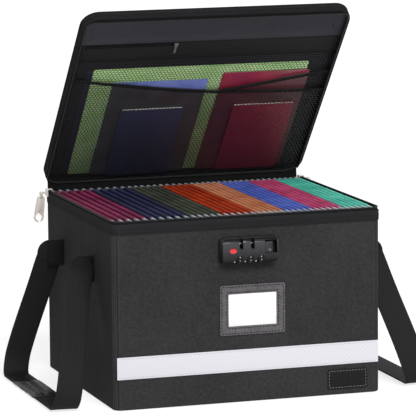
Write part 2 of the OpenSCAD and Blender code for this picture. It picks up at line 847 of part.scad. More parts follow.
module right_zip_slider() { color("#cfc9c2") zip_slider(); }
module left_zip_slider() { color("#cfc9c2") mirror([1, 0, 0]) zip_slider(); }
module right_zip_pull() { color("#cfc9c2") zip_pull(); }
module left_zip_pull() { color("#cfc9c2") mirror([1, 0, 0]) zip_pull(); }

// ---------- the lid ----------

module lid_cover() {
    color("#232324") on_lid() {
        translate([0, 0, lid_depth - fabric_t]) linear_extrude(fabric_t) lid_plan(piping_t);
        translate([0, 0, lid_rise]) linear_extrude(lid_depth - lid_rise) lid_ring(piping_t, gusset_t);
    }
}

module lid_board() {
    color("#8a7a62") on_lid() translate([0, 0, lid_depth - fabric_t - layer_gap - lid_board_t])
        linear_extrude(lid_board_t) lid_plan(piping_t + gusset_t + layer_gap);
}

module lid_lining() {
    color("#37363a") on_lid() translate([0, 0, lining_face])
        linear_extrude(lining_t) lid_plan(piping_t + gusset_t + layer_gap);
}

// Two rolls of edging round the lid: along its free edge and along its top edge.
module lid_binding() {
    color("#1c1c1d") on_lid() {
        translate([0, 0, lid_rise]) linear_extrude(piping_h) lid_ring(0, piping_t - layer_gap);
        translate([0, 0, lid_depth - 3]) linear_extrude(3) lid_ring(0, piping_t - layer_gap);
    }
}

// The lid's half of the zip: a flange inside the band, and the teeth on its edge.
module lid_zip_tape() {
    inset = piping_t + gusset_t + layer_gap;
    teeth_in = tape_in + tape_t / 2 - teeth_w / 2;
    box_v = hinge_y;
    color("#1f1f20") on_lid() {
        translate([0, 0, lid_rise]) linear_extrude(0.8) difference() {
            lid_plan(inset);
            translate([0, box_v]) rounded(
                box_w - 2 * (teeth_in + teeth_w), box_d - 2 * (teeth_in + teeth_w),
                corner_r - teeth_in - teeth_w);
            translate([-lid_w, -1]) square([2 * lid_w, hinge_back + corner_r]);
        }
        translate([0, box_v, lid_rise - teeth_h]) linear_extrude(teeth_h) difference() {
            box_ring(teeth_in, teeth_w);
            translate([-box_w, -box_d / 2 - 1]) square([2 * box_w, corner_r + 1]);
        }
    }
}

pocket_inset = piping_t + gusset_t + 0.2;

module header_panel() {
    color("#343338") on_lid()
        lid_sheet(header_level, header_t, mesh_top + 0.3, lid_len, pocket_inset);
}

header_zip_x0 = -lid_in_w / 2 + 12;

module header_zip() {
    color("#161617") on_lid()
        translate([header_zip_x0, header_zip_v - 2, header_level - header_zip_t - layer_gap])
            cube([header_zip_len, 4, header_zip_t]);
}

// Slider and tab of the header pocket's zip, parked at its right-hand end.
module header_zip_pull() {
    x = header_zip_x0 + header_zip_len - 6;
    level = header_level - header_zip_t - 2 * layer_gap;
    color("#b9bbc0") on_lid() {
        translate([x, header_zip_v - 3, level - 1.6]) cube([5, 6, 1.5]);
        translate([x + 1, header_zip_v - 16, level - 1.4]) cube([3, 14, 1]);
    }
}

// Net of six-sided gaps over a sheet's plan.
module net_gaps(v0, v1, pitch, gap_r) {
    columns = floor(lid_in_w / pitch / 2) - 1;
    rows = floor((v1 - v0) / (pitch * 0.87)) - 1;
    for (i = [-columns : columns], j = [0 : rows])
        translate([(i + (j % 2) / 2) * pitch, v0 + (j + 1) * pitch * 0.87])
            rotate(30) circle(gap_r, $fn = 6);
}

NET_PITCH = 24;

module mesh_large() {
    hem = 4;
    color("#151516") on_lid() translate([0, 0, mesh_level]) linear_extrude(mesh_t) difference() {
        intersection() {
            lid_plan(pocket_inset);
            translate([-lid_w, 0]) square([2 * lid_w, mesh_top]);
        }
        net_gaps(lid_back + 8, mesh_top - hem, NET_PITCH, NET_PITCH * 0.44);
    }
}

// The front pocket's top line: the left pocket's elastic sags to the middle, and the
// right pocket's lower elastic leaves it there.
function left_elastic(x) = let (t = (x + lid_in_w / 2) / (elastic_join + lid_in_w / 2))
    mix(elastic_left, elastic_mid, 1 - pow(1 - t, 1.35));
function low_right(x) = let (t = (x - elastic_join) / (lid_in_w / 2 - elastic_join))
    mix(elastic_mid, low_elastic, 1 - pow(1 - t, 2));
function high_right(x) = let (t = (x - elastic_join) / (lid_in_w / 2 - elastic_join))
    mix(elastic_mid, elastic_right, t);
ELASTIC_STEPS = 8;
left_x = [for (i = [0 : ELASTIC_STEPS]) mix(-lid_in_w / 2 + 0.4, elastic_join, i / ELASTIC_STEPS)];
right_x = [for (i = [0 : ELASTIC_STEPS]) mix(elastic_join, lid_in_w / 2 - 0.4, i / ELASTIC_STEPS)];

module mesh_front() {
    drop_v = elastic_w + layer_gap;
    color("#151516") on_lid() translate([0, 0, front_mesh_level]) linear_extrude(mesh_t) difference() {
        intersection() {
            lid_plan(pocket_inset);
            polygon(concat(
                [[-lid_w, 0]], [[-lid_w, elastic_left - drop_v]],
                [for (x = left_x) [x, left_elastic(x) - drop_v]],
                [for (x = right_x) [x, low_right(x) - drop_v]],
                [[lid_w, low_elastic - drop_v], [lid_w, 0]]));
        }
        net_gaps(lid_back + 8, low_elastic - elastic_w - 6, NET_PITCH, NET_PITCH * 0.44);
    }
}

// Elastic edging: the long sagging strip, and the right pocket's second strip.
module pocket_bindings() {
    level = front_mesh_level - (elastic_t - mesh_t) / 2;
    color("#101011") on_lid() {
        translate([0, 0, level]) linear_extrude(elastic_t) union() {
            polygon(concat(
                [for (x = left_x) [x, left_elastic(x)]],
                [for (x = right_x) [x, low_right(x)]],
                [for (i = [ELASTIC_STEPS : -1 : 0]) [right_x[i], low_right(right_x[i]) - elastic_w]],
                [for (i = [ELASTIC_STEPS : -1 : 0]) [left_x[i], left_elastic(left_x[i]) - elastic_w]]));
            polygon(concat(
                [for (x = right_x) [x, high_right(x)]],
                [for (i = [ELASTIC_STEPS : -1 : 0]) [right_x[i], high_right(right_x[i]) - elastic_w]]));
        }
    }
}

// A flat paper piece in a pocket: left edge, foot, width, height, level, thickness.
module paper(x, w, h, level, t, r) {
    on_lid() translate([x + w / 2, pocket_foot + h / 2, level])
        linear_extrude(t) rounded(w, h, r);
}

module green_folder() {
    color("#8cc46e") paper(-folder_w / 2, folder_w, folder_h, folder_level, folder_t, 2);
}

module blue_card() {
    color("#5a68a8") paper(card_mid - card_space / 2 - card_left_w, card_left_w, card_left_h,
        card_level, card_t, 1);
}

module red_card() {
    color("#8c1f3a") paper(card_mid + card_space / 2, card_right_w, card_right_h,
        card_level, card_t, 1);
}

module navy_booklet() {
    color("#1f2340") paper(navy_side - (lid_w + booklet_w) / 2, booklet_w, booklet_h,
        booklet_level, booklet_t, 3);
}

module wine_booklet() {
    color("#6a1830") paper((lid_w - booklet_w) / 2 - wine_side, booklet_w, booklet_h,
        booklet_level, booklet_t, 3);
}

// ---------- the fabric hinge ----------

hinge_half = box_w / 2 - corner_r - 8;

module hinge_tape_box() {
    y = box_d / 2 + binding_t + 2 * layer_gap;
    t = 0.8;
    foot = rim_z - hinge_skirt;
    color("#1d1d1e") translate([-hinge_half, 0, 0]) rotate([90, 0, 90]) linear_extrude(2 * hinge_half)
        union() {
            polygon([
                [y, foot], [y + t, foot], [y + t, rim_z + 1],
                [hinge_y + 0.3, hinge_z - 0.8], [hinge_y - 0.7, hinge_z], [y, rim_z + 2]
            ]);
            translate([hinge_y, hinge_z]) circle(hinge_bead_r);
        }
}

module hinge_tape_lid() {
    t = 0.8;
    low = hinge_bead_r + run_gap;
    color("#1d1d1e") on_lid() translate([-hinge_half, lid_back - t - layer_gap, low])
        cube([2 * hinge_half, t, lid_depth - 3 - low]);
}

fabric_shell();
front_board();
back_board();
left_boards();
right_boards();
inner_lining();
base_insert();
rim_binding();
box_zip_tape();
front_rail();
rear_rail();
files_burgundy();
files_navy();
files_grey_green();
files_orange();
files_tan();
files_blue();
files_rose();
files_teal();
file_rods();
reflective_stripe();
label_frame();
label_card();
corner_patch();
lock_backplate();
lock_housing();
lock_inlay();
dial_axle();
left_strap_anchors();
right_strap_anchors();
hinge_tape_box();
dial_left();
dial_middle();
dial_right();
release_slider();
latch_bar();
left_strap();
left_grip();
right_strap();
left_zip_slider();
left_zip_pull();
right_zip_slider();
right_zip_pull();
lid_cover();
lid_board();
lid_lining();
lid_binding();
lid_zip_tape();
header_panel();
header_zip();
header_zip_pull();
mesh_large();
mesh_front();
pocket_bindings();
green_folder();
blue_card();
red_card();
navy_booklet();
wine_booklet();
hinge_tape_lid();
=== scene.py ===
# %% [markdown]
# # Portable file box
# This lesson dresses a finished construction model of a file box: a stiff box covered in
# woven fabric, full of hanging folders, with a zipped lid that stands open. The model gives
# every size and place. The cells below give it the looks: fabric, stitches, zips, nets,
# folders and metal, piece by piece.

# %% Load the fixed frame
import json
import math

import bmesh
import bpy
from mathutils import Matrix, Vector, noise


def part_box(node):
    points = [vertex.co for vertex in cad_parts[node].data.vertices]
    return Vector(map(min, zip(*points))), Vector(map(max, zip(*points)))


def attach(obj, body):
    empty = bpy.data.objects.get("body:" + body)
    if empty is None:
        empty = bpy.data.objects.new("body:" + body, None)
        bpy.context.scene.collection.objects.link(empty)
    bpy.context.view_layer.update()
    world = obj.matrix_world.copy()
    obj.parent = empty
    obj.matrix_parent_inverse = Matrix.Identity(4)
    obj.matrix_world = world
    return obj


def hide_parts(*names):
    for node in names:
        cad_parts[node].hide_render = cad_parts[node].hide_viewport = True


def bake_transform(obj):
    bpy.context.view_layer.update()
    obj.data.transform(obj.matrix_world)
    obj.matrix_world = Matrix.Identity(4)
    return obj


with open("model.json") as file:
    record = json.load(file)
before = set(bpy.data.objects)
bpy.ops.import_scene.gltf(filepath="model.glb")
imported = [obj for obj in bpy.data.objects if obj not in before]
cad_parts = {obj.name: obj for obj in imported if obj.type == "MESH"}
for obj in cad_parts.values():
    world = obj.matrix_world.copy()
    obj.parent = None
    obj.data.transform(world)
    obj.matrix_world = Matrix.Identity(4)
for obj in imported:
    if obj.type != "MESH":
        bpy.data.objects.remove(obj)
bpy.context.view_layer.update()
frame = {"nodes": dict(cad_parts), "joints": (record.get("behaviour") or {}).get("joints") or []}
nodes = frame["nodes"]

# %% [markdown]
# ## Where the main faces are
# Sizes are in metres. They are read from the frame's own pieces, so a changed model moves
# everything that is built on it. The lid stands open, so its pieces are drawn flat on a
# closed lid, with v the distance from the hinge line and h the height from the inside to the
# outside, and one matrix then turns them up.

# %% Main levels and the lid's matrix
joints = {joint["name"]: joint for joint in frame["joints"]}
shell_low, shell_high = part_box("fabric_shell")
BOX_W = shell_high.x - shell_low.x
BOX_D = shell_high.y - shell_low.y
WALL_TOP = shell_high.z
CORNER_R = 0.012
rim_low, rim_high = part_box("rim_binding")
RIM_TOP = rim_high.z
HINGE = Vector(joints["lid_hinge"]["pos_m"])
LID_OPEN = math.radians(-joints["lid_hinge"]["range_deg"][0])
LID_TURN = Matrix.Rotation(-LID_OPEN, 4, "X")
LID_FRAME = Matrix.Translation(HINGE) @ LID_TURN


def on_lid(x, v, h):
    """A point of the flat lid drawing: v from the hinge, h towards the outside."""
    return Vector((x, -v, h))


def lid_box(name):
    """Lowest and highest x, v and h of a node that lies in the lid."""
    back = LID_FRAME.inverted()
    flat = [back @ vertex.co for vertex in nodes[name].data.vertices]
    low = (min(p.x for p in flat), min(-p.y for p in flat), min(p.z for p in flat))
    high = (max(p.x for p in flat), max(-p.y for p in flat), max(p.z for p in flat))
    return low, high


print("box", BOX_W, BOX_D, "wall top", WALL_TOP, "lid open", round(math.degrees(LID_OPEN), 1))

# %% [markdown]
# ## Camera and light
# The photograph was taken from far away with a long lens, a little above the box and from
# its left. A long lens keeps the box's edges nearly parallel, so the same lens is used here.
# The box stands on a light table, a white sheet lit from below, so hardly any shadow shows.
# The key light comes from the front, which leaves the left side the darker one.

# %% Camera
def put_in_scene(name, data):
    """A new object of the scene, with its mesh, curve, light or camera data."""
    made = bpy.data.objects.new(name, data)
    bpy.context.scene.collection.objects.link(made)
    return made


VIEW_AZIMUTH = math.radians(18.17)
VIEW_ELEVATION = math.radians(8.63)
VIEW_ROLL = math.radians(-0.46)
VIEW_TARGET = Vector((-0.00232, 0.0, 0.23988))
VIEW_DISTANCE = 4.6017
LENS_MM = 288.5

back_of_view = Vector((
    -math.sin(VIEW_AZIMUTH) * math.cos(VIEW_ELEVATION),
    -math.cos(VIEW_AZIMUTH) * math.cos(VIEW_ELEVATION),
    math.sin(VIEW_ELEVATION),
))
level_right = Vector((math.cos(VIEW_AZIMUTH), -math.sin(VIEW_AZIMUTH), 0.0))
level_up = back_of_view.cross(level_right)
view_right = math.cos(VIEW_ROLL) * level_right + math.sin(VIEW_ROLL) * level_up
view_up = back_of_view.cross(view_right)
camera_data = bpy.data.cameras.new("camera")
camera_data.lens = LENS_MM
camera_data.sensor_width = 36.0
camera_data.clip_end = 50.0
camera = put_in_scene("camera", camera_data)
turn = Matrix((view_right, view_up, back_of_view)).transposed()
camera_place = VIEW_TARGET + back_of_view * VIEW_DISTANCE
camera.matrix_world = Matrix.Translation(camera_place) @ turn.to_4x4()
bpy.context.scene.camera = camera
print("camera at", [round(c, 3) for c in camera_place])


# %% Soft studio light and floor
def soft_sun(name, azimuth, elevation, strength, angle):
    """A broad distant light; its azimuth is counted from the front, to the right."""
    data = bpy.data.lights.new(name, "SUN")
    data.energy = strength
    data.angle = math.radians(angle)
    light = put_in_scene(name, data)
    side, height = math.radians(azimuth), math.radians(elevation)
    towards = Vector((math.sin(side) * math.cos(height), -math.cos(side) * math.cos(height),
                      math.sin(height)))
    light.location = towards * 3
    light.rotation_mode = "QUATERNION"
    light.rotation_quaternion = towards.to_track_quat("Z", "Y")


soft_sun("key_light", azimuth=4, elevation=44, strength=3.1, angle=22)
soft_sun("back_light", azimuth=165, elevation=40, strength=0.5, angle=30)

world = bpy.data.worlds.new("studio")
world.use_nodes = True
sky = world.node_tree.nodes["Background"].inputs
sky["Color"].default_value = (1.0, 1.0, 1.0, 1.0)
sky["Strength"].default_value = 0.4
bpy.context.scene.world = world
bpy.context.scene.view_settings.view_transform = "Standard"


def primitive(name, operator, **options):
    """A primitive that is added with nothing else selected, since operators act on all that is."""
    bpy.ops.object.select_all(action="DESELECT")
    operator(**options)
    bpy.context.object.name = name
    return bpy.context.object


FLOOR_Z = -0.0004
floor = primitive("studio_floor", bpy.ops.mesh.primitive_plane_add, size=60,
                  location=(0, 0, FLOOR_Z))
print("lights:", len(bpy.data.lights))

# %% [markdown]
# ## Modelling by hand, in code
# A piece starts as a primitive, is shaped in edit mode, and is finished with modifiers that
# are applied. An operator acts on everything that is selected, so each helper clears the
# selection first, and then picks edges or faces by their place or their normal.

# %% Pick objects, edges and faces
import numpy as np

SMOOTH_ANGLE = math.radians(40)


def pick(*pieces):
    """Makes these the only selected objects, and the first one active."""
    if bpy.context.mode != "OBJECT":
        bpy.ops.object.mode_set(mode="OBJECT")
    bpy.ops.object.select_all(action="DESELECT")
    for piece in pieces:
        piece.select_set(True)
    bpy.context.view_layer.objects.active = pieces[0]


def edit(piece, kind, test):
    """Opens edit mode with the edges or faces selected for which test is true."""
    pick(piece)
    bpy.ops.object.mode_set(mode="EDIT")
    bpy.ops.mesh.select_mode(type=kind)
    bpy.ops.mesh.select_all(action="DESELECT")
    shape = bmesh.from_edit_mesh(piece.data)
    for part in shape.edges if kind == "EDGE" else shape.faces:
        if test(part):
            part.select_set(True)
    bmesh.update_edit_mesh(piece.data)


def close_edit():
    """Leaves edit mode, which writes the changed mesh back to the object."""
    bpy.ops.object.mode_set(mode="OBJECT")


def change(piece, kind, test, operator, **options):
    """Runs one operator on the edges or faces for which test is true."""
    edit(piece, kind, test)
    operator(**options)
    close_edit()


def bevel(piece, width, steps, test):
    """Rounds the edges for which test is true."""
    change(piece, "EDGE", test, bpy.ops.mesh.bevel, offset=width, segments=steps,
           affect="EDGES", clamp_overlap=True)


def everything(part):
    """A test that every edge or face passes."""
    return True


def weld(piece):
    """Merges points that lie in one place, such as where a skin closes on itself."""
    change(piece, "FACE", everything, bpy.ops.mesh.remove_doubles, threshold=1e-6)
    return piece


def smooth(piece):
    """Shades a piece smooth, but keeps its hard edges."""
    pick(piece)
    bpy.ops.object.shade_smooth_by_angle(angle=SMOOTH_ANGLE)
    return piece


def add_modifier(piece, kind, **options):
    """Adds a modifier, sets its options and applies it."""
    modifier = piece.modifiers.new(kind.lower(), kind)
    for option, value in options.items():
        setattr(modifier, option, value)
    pick(piece)
    bpy.ops.object.modifier_apply(modifier=modifier.name)
    return piece


# %% [markdown]
# A block with round corners stands for most sewn and moulded pieces: a label, a card, a wall.
# Four edges get the large radius that is seen from the front, and the rims of the two end
# faces get a small one, because no real edge is knife sharp and a small one catches light.

# %% Blocks with round corners
def cube(name, low, high):
    """A cube primitive that fills the space between two corners."""
    middle = (Vector(low) + Vector(high)) / 2
    piece = primitive(name, bpy.ops.mesh.primitive_cube_add, size=1, location=middle)
    piece.scale = Vector(high) - Vector(low)
    bpy.ops.object.transform_apply(location=True, rotation=True, scale=True)
    return piece


def runs_along(axis):
    """A test for edges that run along an axis."""
    def test(edge):
        step = edge.verts[1].co - edge.verts[0].co
        return abs(step[axis]) > 0.999 * step.length
    return test


def lies_at(axis, value):
    """A test for edges or faces that lie in one plane across an axis."""
    return lambda part: all(abs(v.co[axis] - value) < 1e-6 for v in part.verts)


def block(name, low, high, radius, axis=2, soft=0.0003, corner_steps=6):
    """A block whose four edges along axis have a radius, with softened end faces."""
    piece = cube(name, low, high)
    bevel(piece, radius, corner_steps, runs_along(axis))
    if soft:
        near, far = lies_at(axis, low[axis]), lies_at(axis, high[axis])
        bevel(piece, soft, 2, lambda edge: near(edge) or far(edge))
    return smooth(piece)


# %% [markdown]
# Stitches, zip teeth and net strands repeat hundreds of times. Each is modelled once with a
# few faces and then copied into one mesh, one matrix a copy.

# %% Copies
def copies(name, template, places):
    """One mesh that holds template at every matrix in places; the template is removed."""
    corners = np.array([v.co for v in template.data.vertices])
    faces = [tuple(face.vertices) for face in template.data.polygons]
    points, polygons = [], []
    for count, place in enumerate(places):
        matrix = np.array(place)
        points.append(corners @ matrix[:3, :3].T + matrix[:3, 3])
        first = count * len(corners)
        polygons += [tuple(first + i for i in face) for face in faces]
    mesh = bpy.data.meshes.new(name)
    mesh.from_pydata(np.concatenate(points), [], polygons)
    piece = put_in_scene(name, mesh)
    bpy.data.objects.remove(template)
    return smooth(piece)


# %% [markdown]
# A row of stitches is a walk along a path at equal steps. At each step a matrix says where the
# copy lies: its X axis runs along the path and its Z axis faces out of the cloth.

# %% Walks and stitches
def walk(points, step, closed=False):
    """Points at equal steps along a path, each with the path's direction there."""
    path = [Vector(p) for p in points] + ([Vector(points[0])] if closed else [])
    length = sum((b - a).length for a, b in zip(path, path[1:]))
    count = max(2, round(length / step))
    gap = length / count
    found, wanted, done = [], gap / 2, 0.0
    for a, b in zip(path, path[1:]):
        span = (b - a).length
        while span > 0 and wanted <= done + span:
            found.append((a.lerp(b, (wanted - done) / span), (b - a) / span))
            wanted += gap
        done += span
    return found


def facing(place, along, out):
    """A matrix at place whose X axis runs along a path and whose Z axis faces out."""
    x_axis = Vector(along).normalized()
    y_axis = Vector(out).cross(x_axis).normalized()
    z_axis = x_axis.cross(y_axis)
    return Matrix.Translation(place) @ Matrix((x_axis, y_axis, z_axis)).transposed().to_4x4()


def stitch_row(name, path, out, pitch=0.0045, length=0.003, width=0.0007, closed=False):
    """A row of sewn thread that lies half in the cloth. out is a direction or a function."""
    thread = primitive("thread", bpy.ops.mesh.primitive_uv_sphere_add, segments=6, ring_count=5,
                       radius=0.5)
    thread.data.transform(Matrix.Rotation(math.pi / 2, 4, "Y"))
    thread.data.transform(Matrix.Diagonal((length, width, width, 1)))
    return copies(name, thread, [
        facing(place, along, out(along) if callable(out) else out)
        for place, along in walk(path, pitch, closed)])


# %% [markdown]
# Cloth is a skin through rows of points, and piping is a curve with a round section. Both
# start from an outline, and most outlines here are rectangles with round corners.

# %% Outlines, cords and ribbons
def round_corners(half_w, half_d, radius, steps=6):
    """The outline of a rectangle with round corners about the origin, counter-clockwise."""
    outline = []
    for quarter, (sx, sy) in enumerate(((1, 1), (-1, 1), (-1, -1), (1, -1))):
        for i in range(steps + 1):
            angle = math.pi / 2 * (quarter + i / steps)
            outline.append((sx * (half_w - radius) + radius * math.cos(angle),
                            sy * (half_d - radius) + radius * math.sin(angle)))
    return outline


def roll(name, points, radius, closed=False, sides=3):
    """A round cord of cloth or wire along a path, as piping has."""
    curve = bpy.data.curves.new(name, "CURVE")
    curve.dimensions = "3D"
    curve.bevel_depth = radius
    curve.bevel_resolution = sides
    curve.use_fill_caps = True
    spline = curve.splines.new("POLY")
    spline.points.add(len(points) - 1)
    for point, place in zip(spline.points, points):
        point.co = (*place, 1)
    spline.use_cyclic_u = closed
    drawn = put_in_scene(name + "_path", curve)
    pick(drawn)
    bpy.ops.object.convert(target="MESH")
    piece = bpy.context.object
    piece.name = name
    return smooth(piece)


def ribbon(name, rows):
    """A skin through rows of points: row i, point k joins to row i + 1, point k."""
    count = len(rows[0])
    faces = [(i * count + k, (i + 1) * count + k, (i + 1) * count + k + 1, i * count + k + 1)
             for i in range(len(rows) - 1) for k in range(count - 1)]
    mesh = bpy.data.meshes.new(name)
    mesh.from_pydata([tuple(p) for row in rows for p in row], [], faces)
    piece = put_in_scene(name, mesh)
    change(piece, "FACE", everything, bpy.ops.mesh.normals_make_consistent, inside=False)
    return smooth(piece)


# %% [markdown]
# A finished piece gets its material, and is told which body of the frame it moves with and
# which of the frame's own pieces it stands for.

# %% Setting a piece in place
def join(name, *pieces):
    """Makes one piece of several."""
    pick(*pieces)
    if len(pieces) > 1:
        bpy.ops.object.join()
    piece = bpy.context.object
    piece.name = name
    return piece


def cover(piece, material):
    """Makes this the piece's only material."""
    piece.data.materials.clear()
    piece.data.materials.append(material)


def rows_along_x(name, low_x, high_x, places, out, pitch):
    """Straight rows of stitches, one at each y and z in places, as one piece."""
    return join(name, *[stitch_row("row", [(low_x, y, z), (high_x, y, z)], out, pitch)
                        for y, z in places])


def set_in_place(piece, material, body, stands_for=()):
    """Gives a finished piece its material, its body and the nodes that it stands for."""
    cover(piece, material)
    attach(piece, body)
    if stands_for:
        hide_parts(*stands_for)
    print(piece.name, len(piece.data.polygons), "faces, rides on", body)
    return piece


# %% [markdown]
# ## Materials
# Each material is named for what the real thing is. Patterns are worked out from real sizes:
# a band texture repeats every 2 pi / 20 units at scale 1, so a pitch in metres gives its
# scale. All patterns read object coordinates, which are metres here, so a thread is as wide
# on one piece as on the next. On a piece that lies in the open lid they are turned by the
# lid's own angle, so that its threads run along its edges.

# %% Colour and node helpers
BAND_UNIT = 2 * math.pi / 20


def linear(hex_colour):
    """An sRGB hex value as linear red, green, blue and alpha."""
    parts = [int(hex_colour[i:i + 2], 16) / 255 for i in (1, 3, 5)]
    return tuple(c / 12.92 if c <= 0.04045 else ((c + 0.055) / 1.055) ** 2.4
                 for c in parts) + (1.0,)


def add(tree, kind, inputs=None, output=0, **settings):
    """Adds a shader node and returns an output. An input is a value or another's output."""
    made = tree.nodes.new("ShaderNode" + kind)
    for option, value in settings.items():
        setattr(made, option, value)
    for socket, value in (inputs or {}).items():
        if isinstance(value, bpy.types.NodeSocket):
            tree.links.new(value, made.inputs[socket])
        else:
            made.inputs[socket].default_value = value
    return made.outputs[output]


def start_material(name, lean=0.0, **shader_values):
    """A material, its tree, its shader and its coordinates, turned about X by lean."""
    material = bpy.data.materials.new(name)
    material.use_nodes = True
    tree = material.node_tree
    shader = tree.nodes["Principled BSDF"]
    for socket, value in shader_values.items():
        shader.inputs[socket.replace("_", " ")].default_value = value
    where = add(tree, "TexCoord", output="Object")
    if lean:
        where = add(tree, "Mapping", {"Vector": where, "Rotation": (lean, 0, 0)},
                    vector_type="POINT")
    return material, tree, shader, where


def colour_and_relief(tree, shader, factor, dark, light, height=None, depth=0.0):
    """Colours a surface from dark to light by factor, and raises it by height times depth."""
    mixed = add(tree, "Mix", {0: factor, 6: linear(dark), 7: linear(light)}, 2, data_type="RGBA")
    tree.links.new(mixed, shader.inputs["Base Color"])
    if height is not None:
        relief = add(tree, "Bump", {"Height": height, "Distance": depth, "Strength": 1.0})
        tree.links.new(relief, shader.inputs["Normal"])


# %% [markdown]
# Canvas is yarn that goes over and under. Its yarns are about half a millimetre thick, finer
# than a pixel here, so the weave is drawn at 1.6 mm. One band texture along each axis is
# added up, and on any flat face two of them cross, so the same cloth wraps all the walls.
# Melange yarn isn't one grey: short darker and lighter flecks follow the threads. Tape,
# elastic and webbing are woven too, but what the eye sees is a row of ribs.

# %% Woven cloth and ribbed tape
def woven(name, dark, light, pitch=0.0016, depth=0.00022, lean=0.0, fleck=0.5, roughness=0.88):
    """Cloth of crossing yarns; fleck is the share of its tone that comes from flecks."""
    material, tree, shader, where = start_material(
        name, lean, Roughness=roughness, Specular_IOR_Level=0.02, Sheen_Weight=0.01,
        Sheen_Roughness=0.5)
    bands = [add(tree, "TexWave", {"Vector": where, "Scale": BAND_UNIT / pitch,
                                   "Distortion": 0.6, "Detail": 1.0, "Detail Scale": 2.0},
                 "Fac", bands_direction=axis) for axis in "XYZ"]
    two = add(tree, "Math", {0: bands[0], 1: bands[1]}, operation="ADD")
    weave = add(tree, "Math", {0: two, 1: bands[2]}, operation="ADD")
    flecks = add(tree, "TexNoise", {"Vector": where, "Scale": 0.55 / pitch, "Detail": 3.0,
                                    "Roughness": 0.7})
    broad = add(tree, "TexNoise", {"Vector": where, "Scale": 14.0, "Detail": 2.0})
    yarn = add(tree, "MapRange", {"Value": weave, "From Min": 0.6, "From Max": 2.4,
                                  "To Min": 0.0, "To Max": 1.0 - fleck})
    spots = add(tree, "MapRange", {"Value": flecks, "From Min": 0.32, "From Max": 0.68,
                                   "To Min": 0.0, "To Max": fleck})
    sum_of = add(tree, "Math", {0: yarn, 1: spots}, operation="ADD")
    worn = add(tree, "MapRange", {"Value": broad, "From Min": 0.3, "From Max": 0.7,
                                  "To Min": -0.08, "To Max": 0.08})
    factor = add(tree, "Math", {0: sum_of, 1: worn}, operation="ADD", use_clamp=True)
    colour_and_relief(tree, shader, factor, dark, light, weave, depth)
    return material


def ribbed(name, dark, light, pitch, axis, depth=0.0003, lean=0.0):
    """Parallel ribs that follow each other along one axis, with fine yarn on them."""
    material, tree, shader, where = start_material(
        name, lean, Roughness=0.7, Specular_IOR_Level=0.05, Sheen_Weight=0.01,
        Sheen_Roughness=0.4)
    ribs = add(tree, "TexWave", {"Vector": where, "Scale": BAND_UNIT / pitch,
                                 "Distortion": 0.25, "Detail": 1.0}, "Fac", bands_direction=axis)
    yarn = add(tree, "TexNoise", {"Vector": where, "Scale": 1.4 / pitch, "Detail": 3.0,
                                  "Roughness": 0.65})
    height = add(tree, "Math", {0: yarn, 1: 0.45, 2: ribs}, operation="MULTIPLY_ADD")
    factor = add(tree, "MapRange", {"Value": height, "From Min": 0.15, "From Max": 1.3})
    colour_and_relief(tree, shader, factor, dark, light, height, depth)
    return material


# %% [markdown]
# Folder board is dyed all through, so its colour is even, with faint fibres and a rub of
# lighter tone here and there. Its surface is nearly matt, but a laminated card has a gloss.

# %% Paper and board
def board(name, dark, light, roughness=0.62, lean=0.0, gloss=0.0):
    """Dyed board or paper; gloss is the weight of a laminated film."""
    material, tree, shader, where = start_material(
        name, lean, Roughness=roughness, Coat_Weight=gloss, Coat_Roughness=0.25)
    fibres = add(tree, "TexNoise", {"Vector": where, "Scale": 900.0, "Detail": 4.0,
                                    "Roughness": 0.7})
    clouds = add(tree, "TexNoise", {"Vector": where, "Scale": 30.0, "Detail": 3.0,
                                    "Distortion": 0.4})
    mottle = add(tree, "Math", {0: fibres, 1: 0.4, 2: clouds}, operation="MULTIPLY_ADD")
    factor = add(tree, "MapRange", {"Value": mottle, "From Min": 0.5, "From Max": 0.95})
    colour_and_relief(tree, shader, factor, dark, light, fibres, depth=0.00005)
    return material


# %% [markdown]
# Synthetic leather is cloth with a pressed skin of plastic: rounded cells with creases
# between them, a little lighter on top where hands rub it. Moulded plastic has only a faint
# spark-eroded texture, and polished plastic almost none. Plated and drawn metal has long
# fine lines, so its pattern is stretched along one axis.

# %% Synthetic leather, plastic and metal
def grained(name, dark, light, grain=0.0016, roughness=0.5, lean=0.0, coat=0.0, specular=0.4):
    """Synthetic leather; grain is the width of one pressed cell."""
    material, tree, shader, where = start_material(
        name, lean, Roughness=roughness, Coat_Weight=coat, Coat_Roughness=0.3,
        Specular_IOR_Level=specular)
    cells = add(tree, "TexVoronoi", {"Vector": where, "Scale": 1 / grain, "Randomness": 0.9},
                "Distance", feature="SMOOTH_F1")
    pores = add(tree, "TexNoise", {"Vector": where, "Scale": 0.3 / grain, "Detail": 4.0})
    height = add(tree, "Math", {0: cells, 1: -0.9, 2: pores}, operation="MULTIPLY_ADD")
    factor = add(tree, "MapRange", {"Value": height, "From Min": -0.25, "From Max": 0.5})
    colour_and_relief(tree, shader, factor, dark, light, height, depth=0.00018)
    return material


def vary_roughness(tree, shader, pattern, least, most):
    """Lets a pattern move the shader's roughness between two values."""
    smear = add(tree, "MapRange", {"Value": pattern, "From Min": 0.3, "From Max": 0.7,
                                   "To Min": least, "To Max": most})
    tree.links.new(smear, shader.inputs["Roughness"])


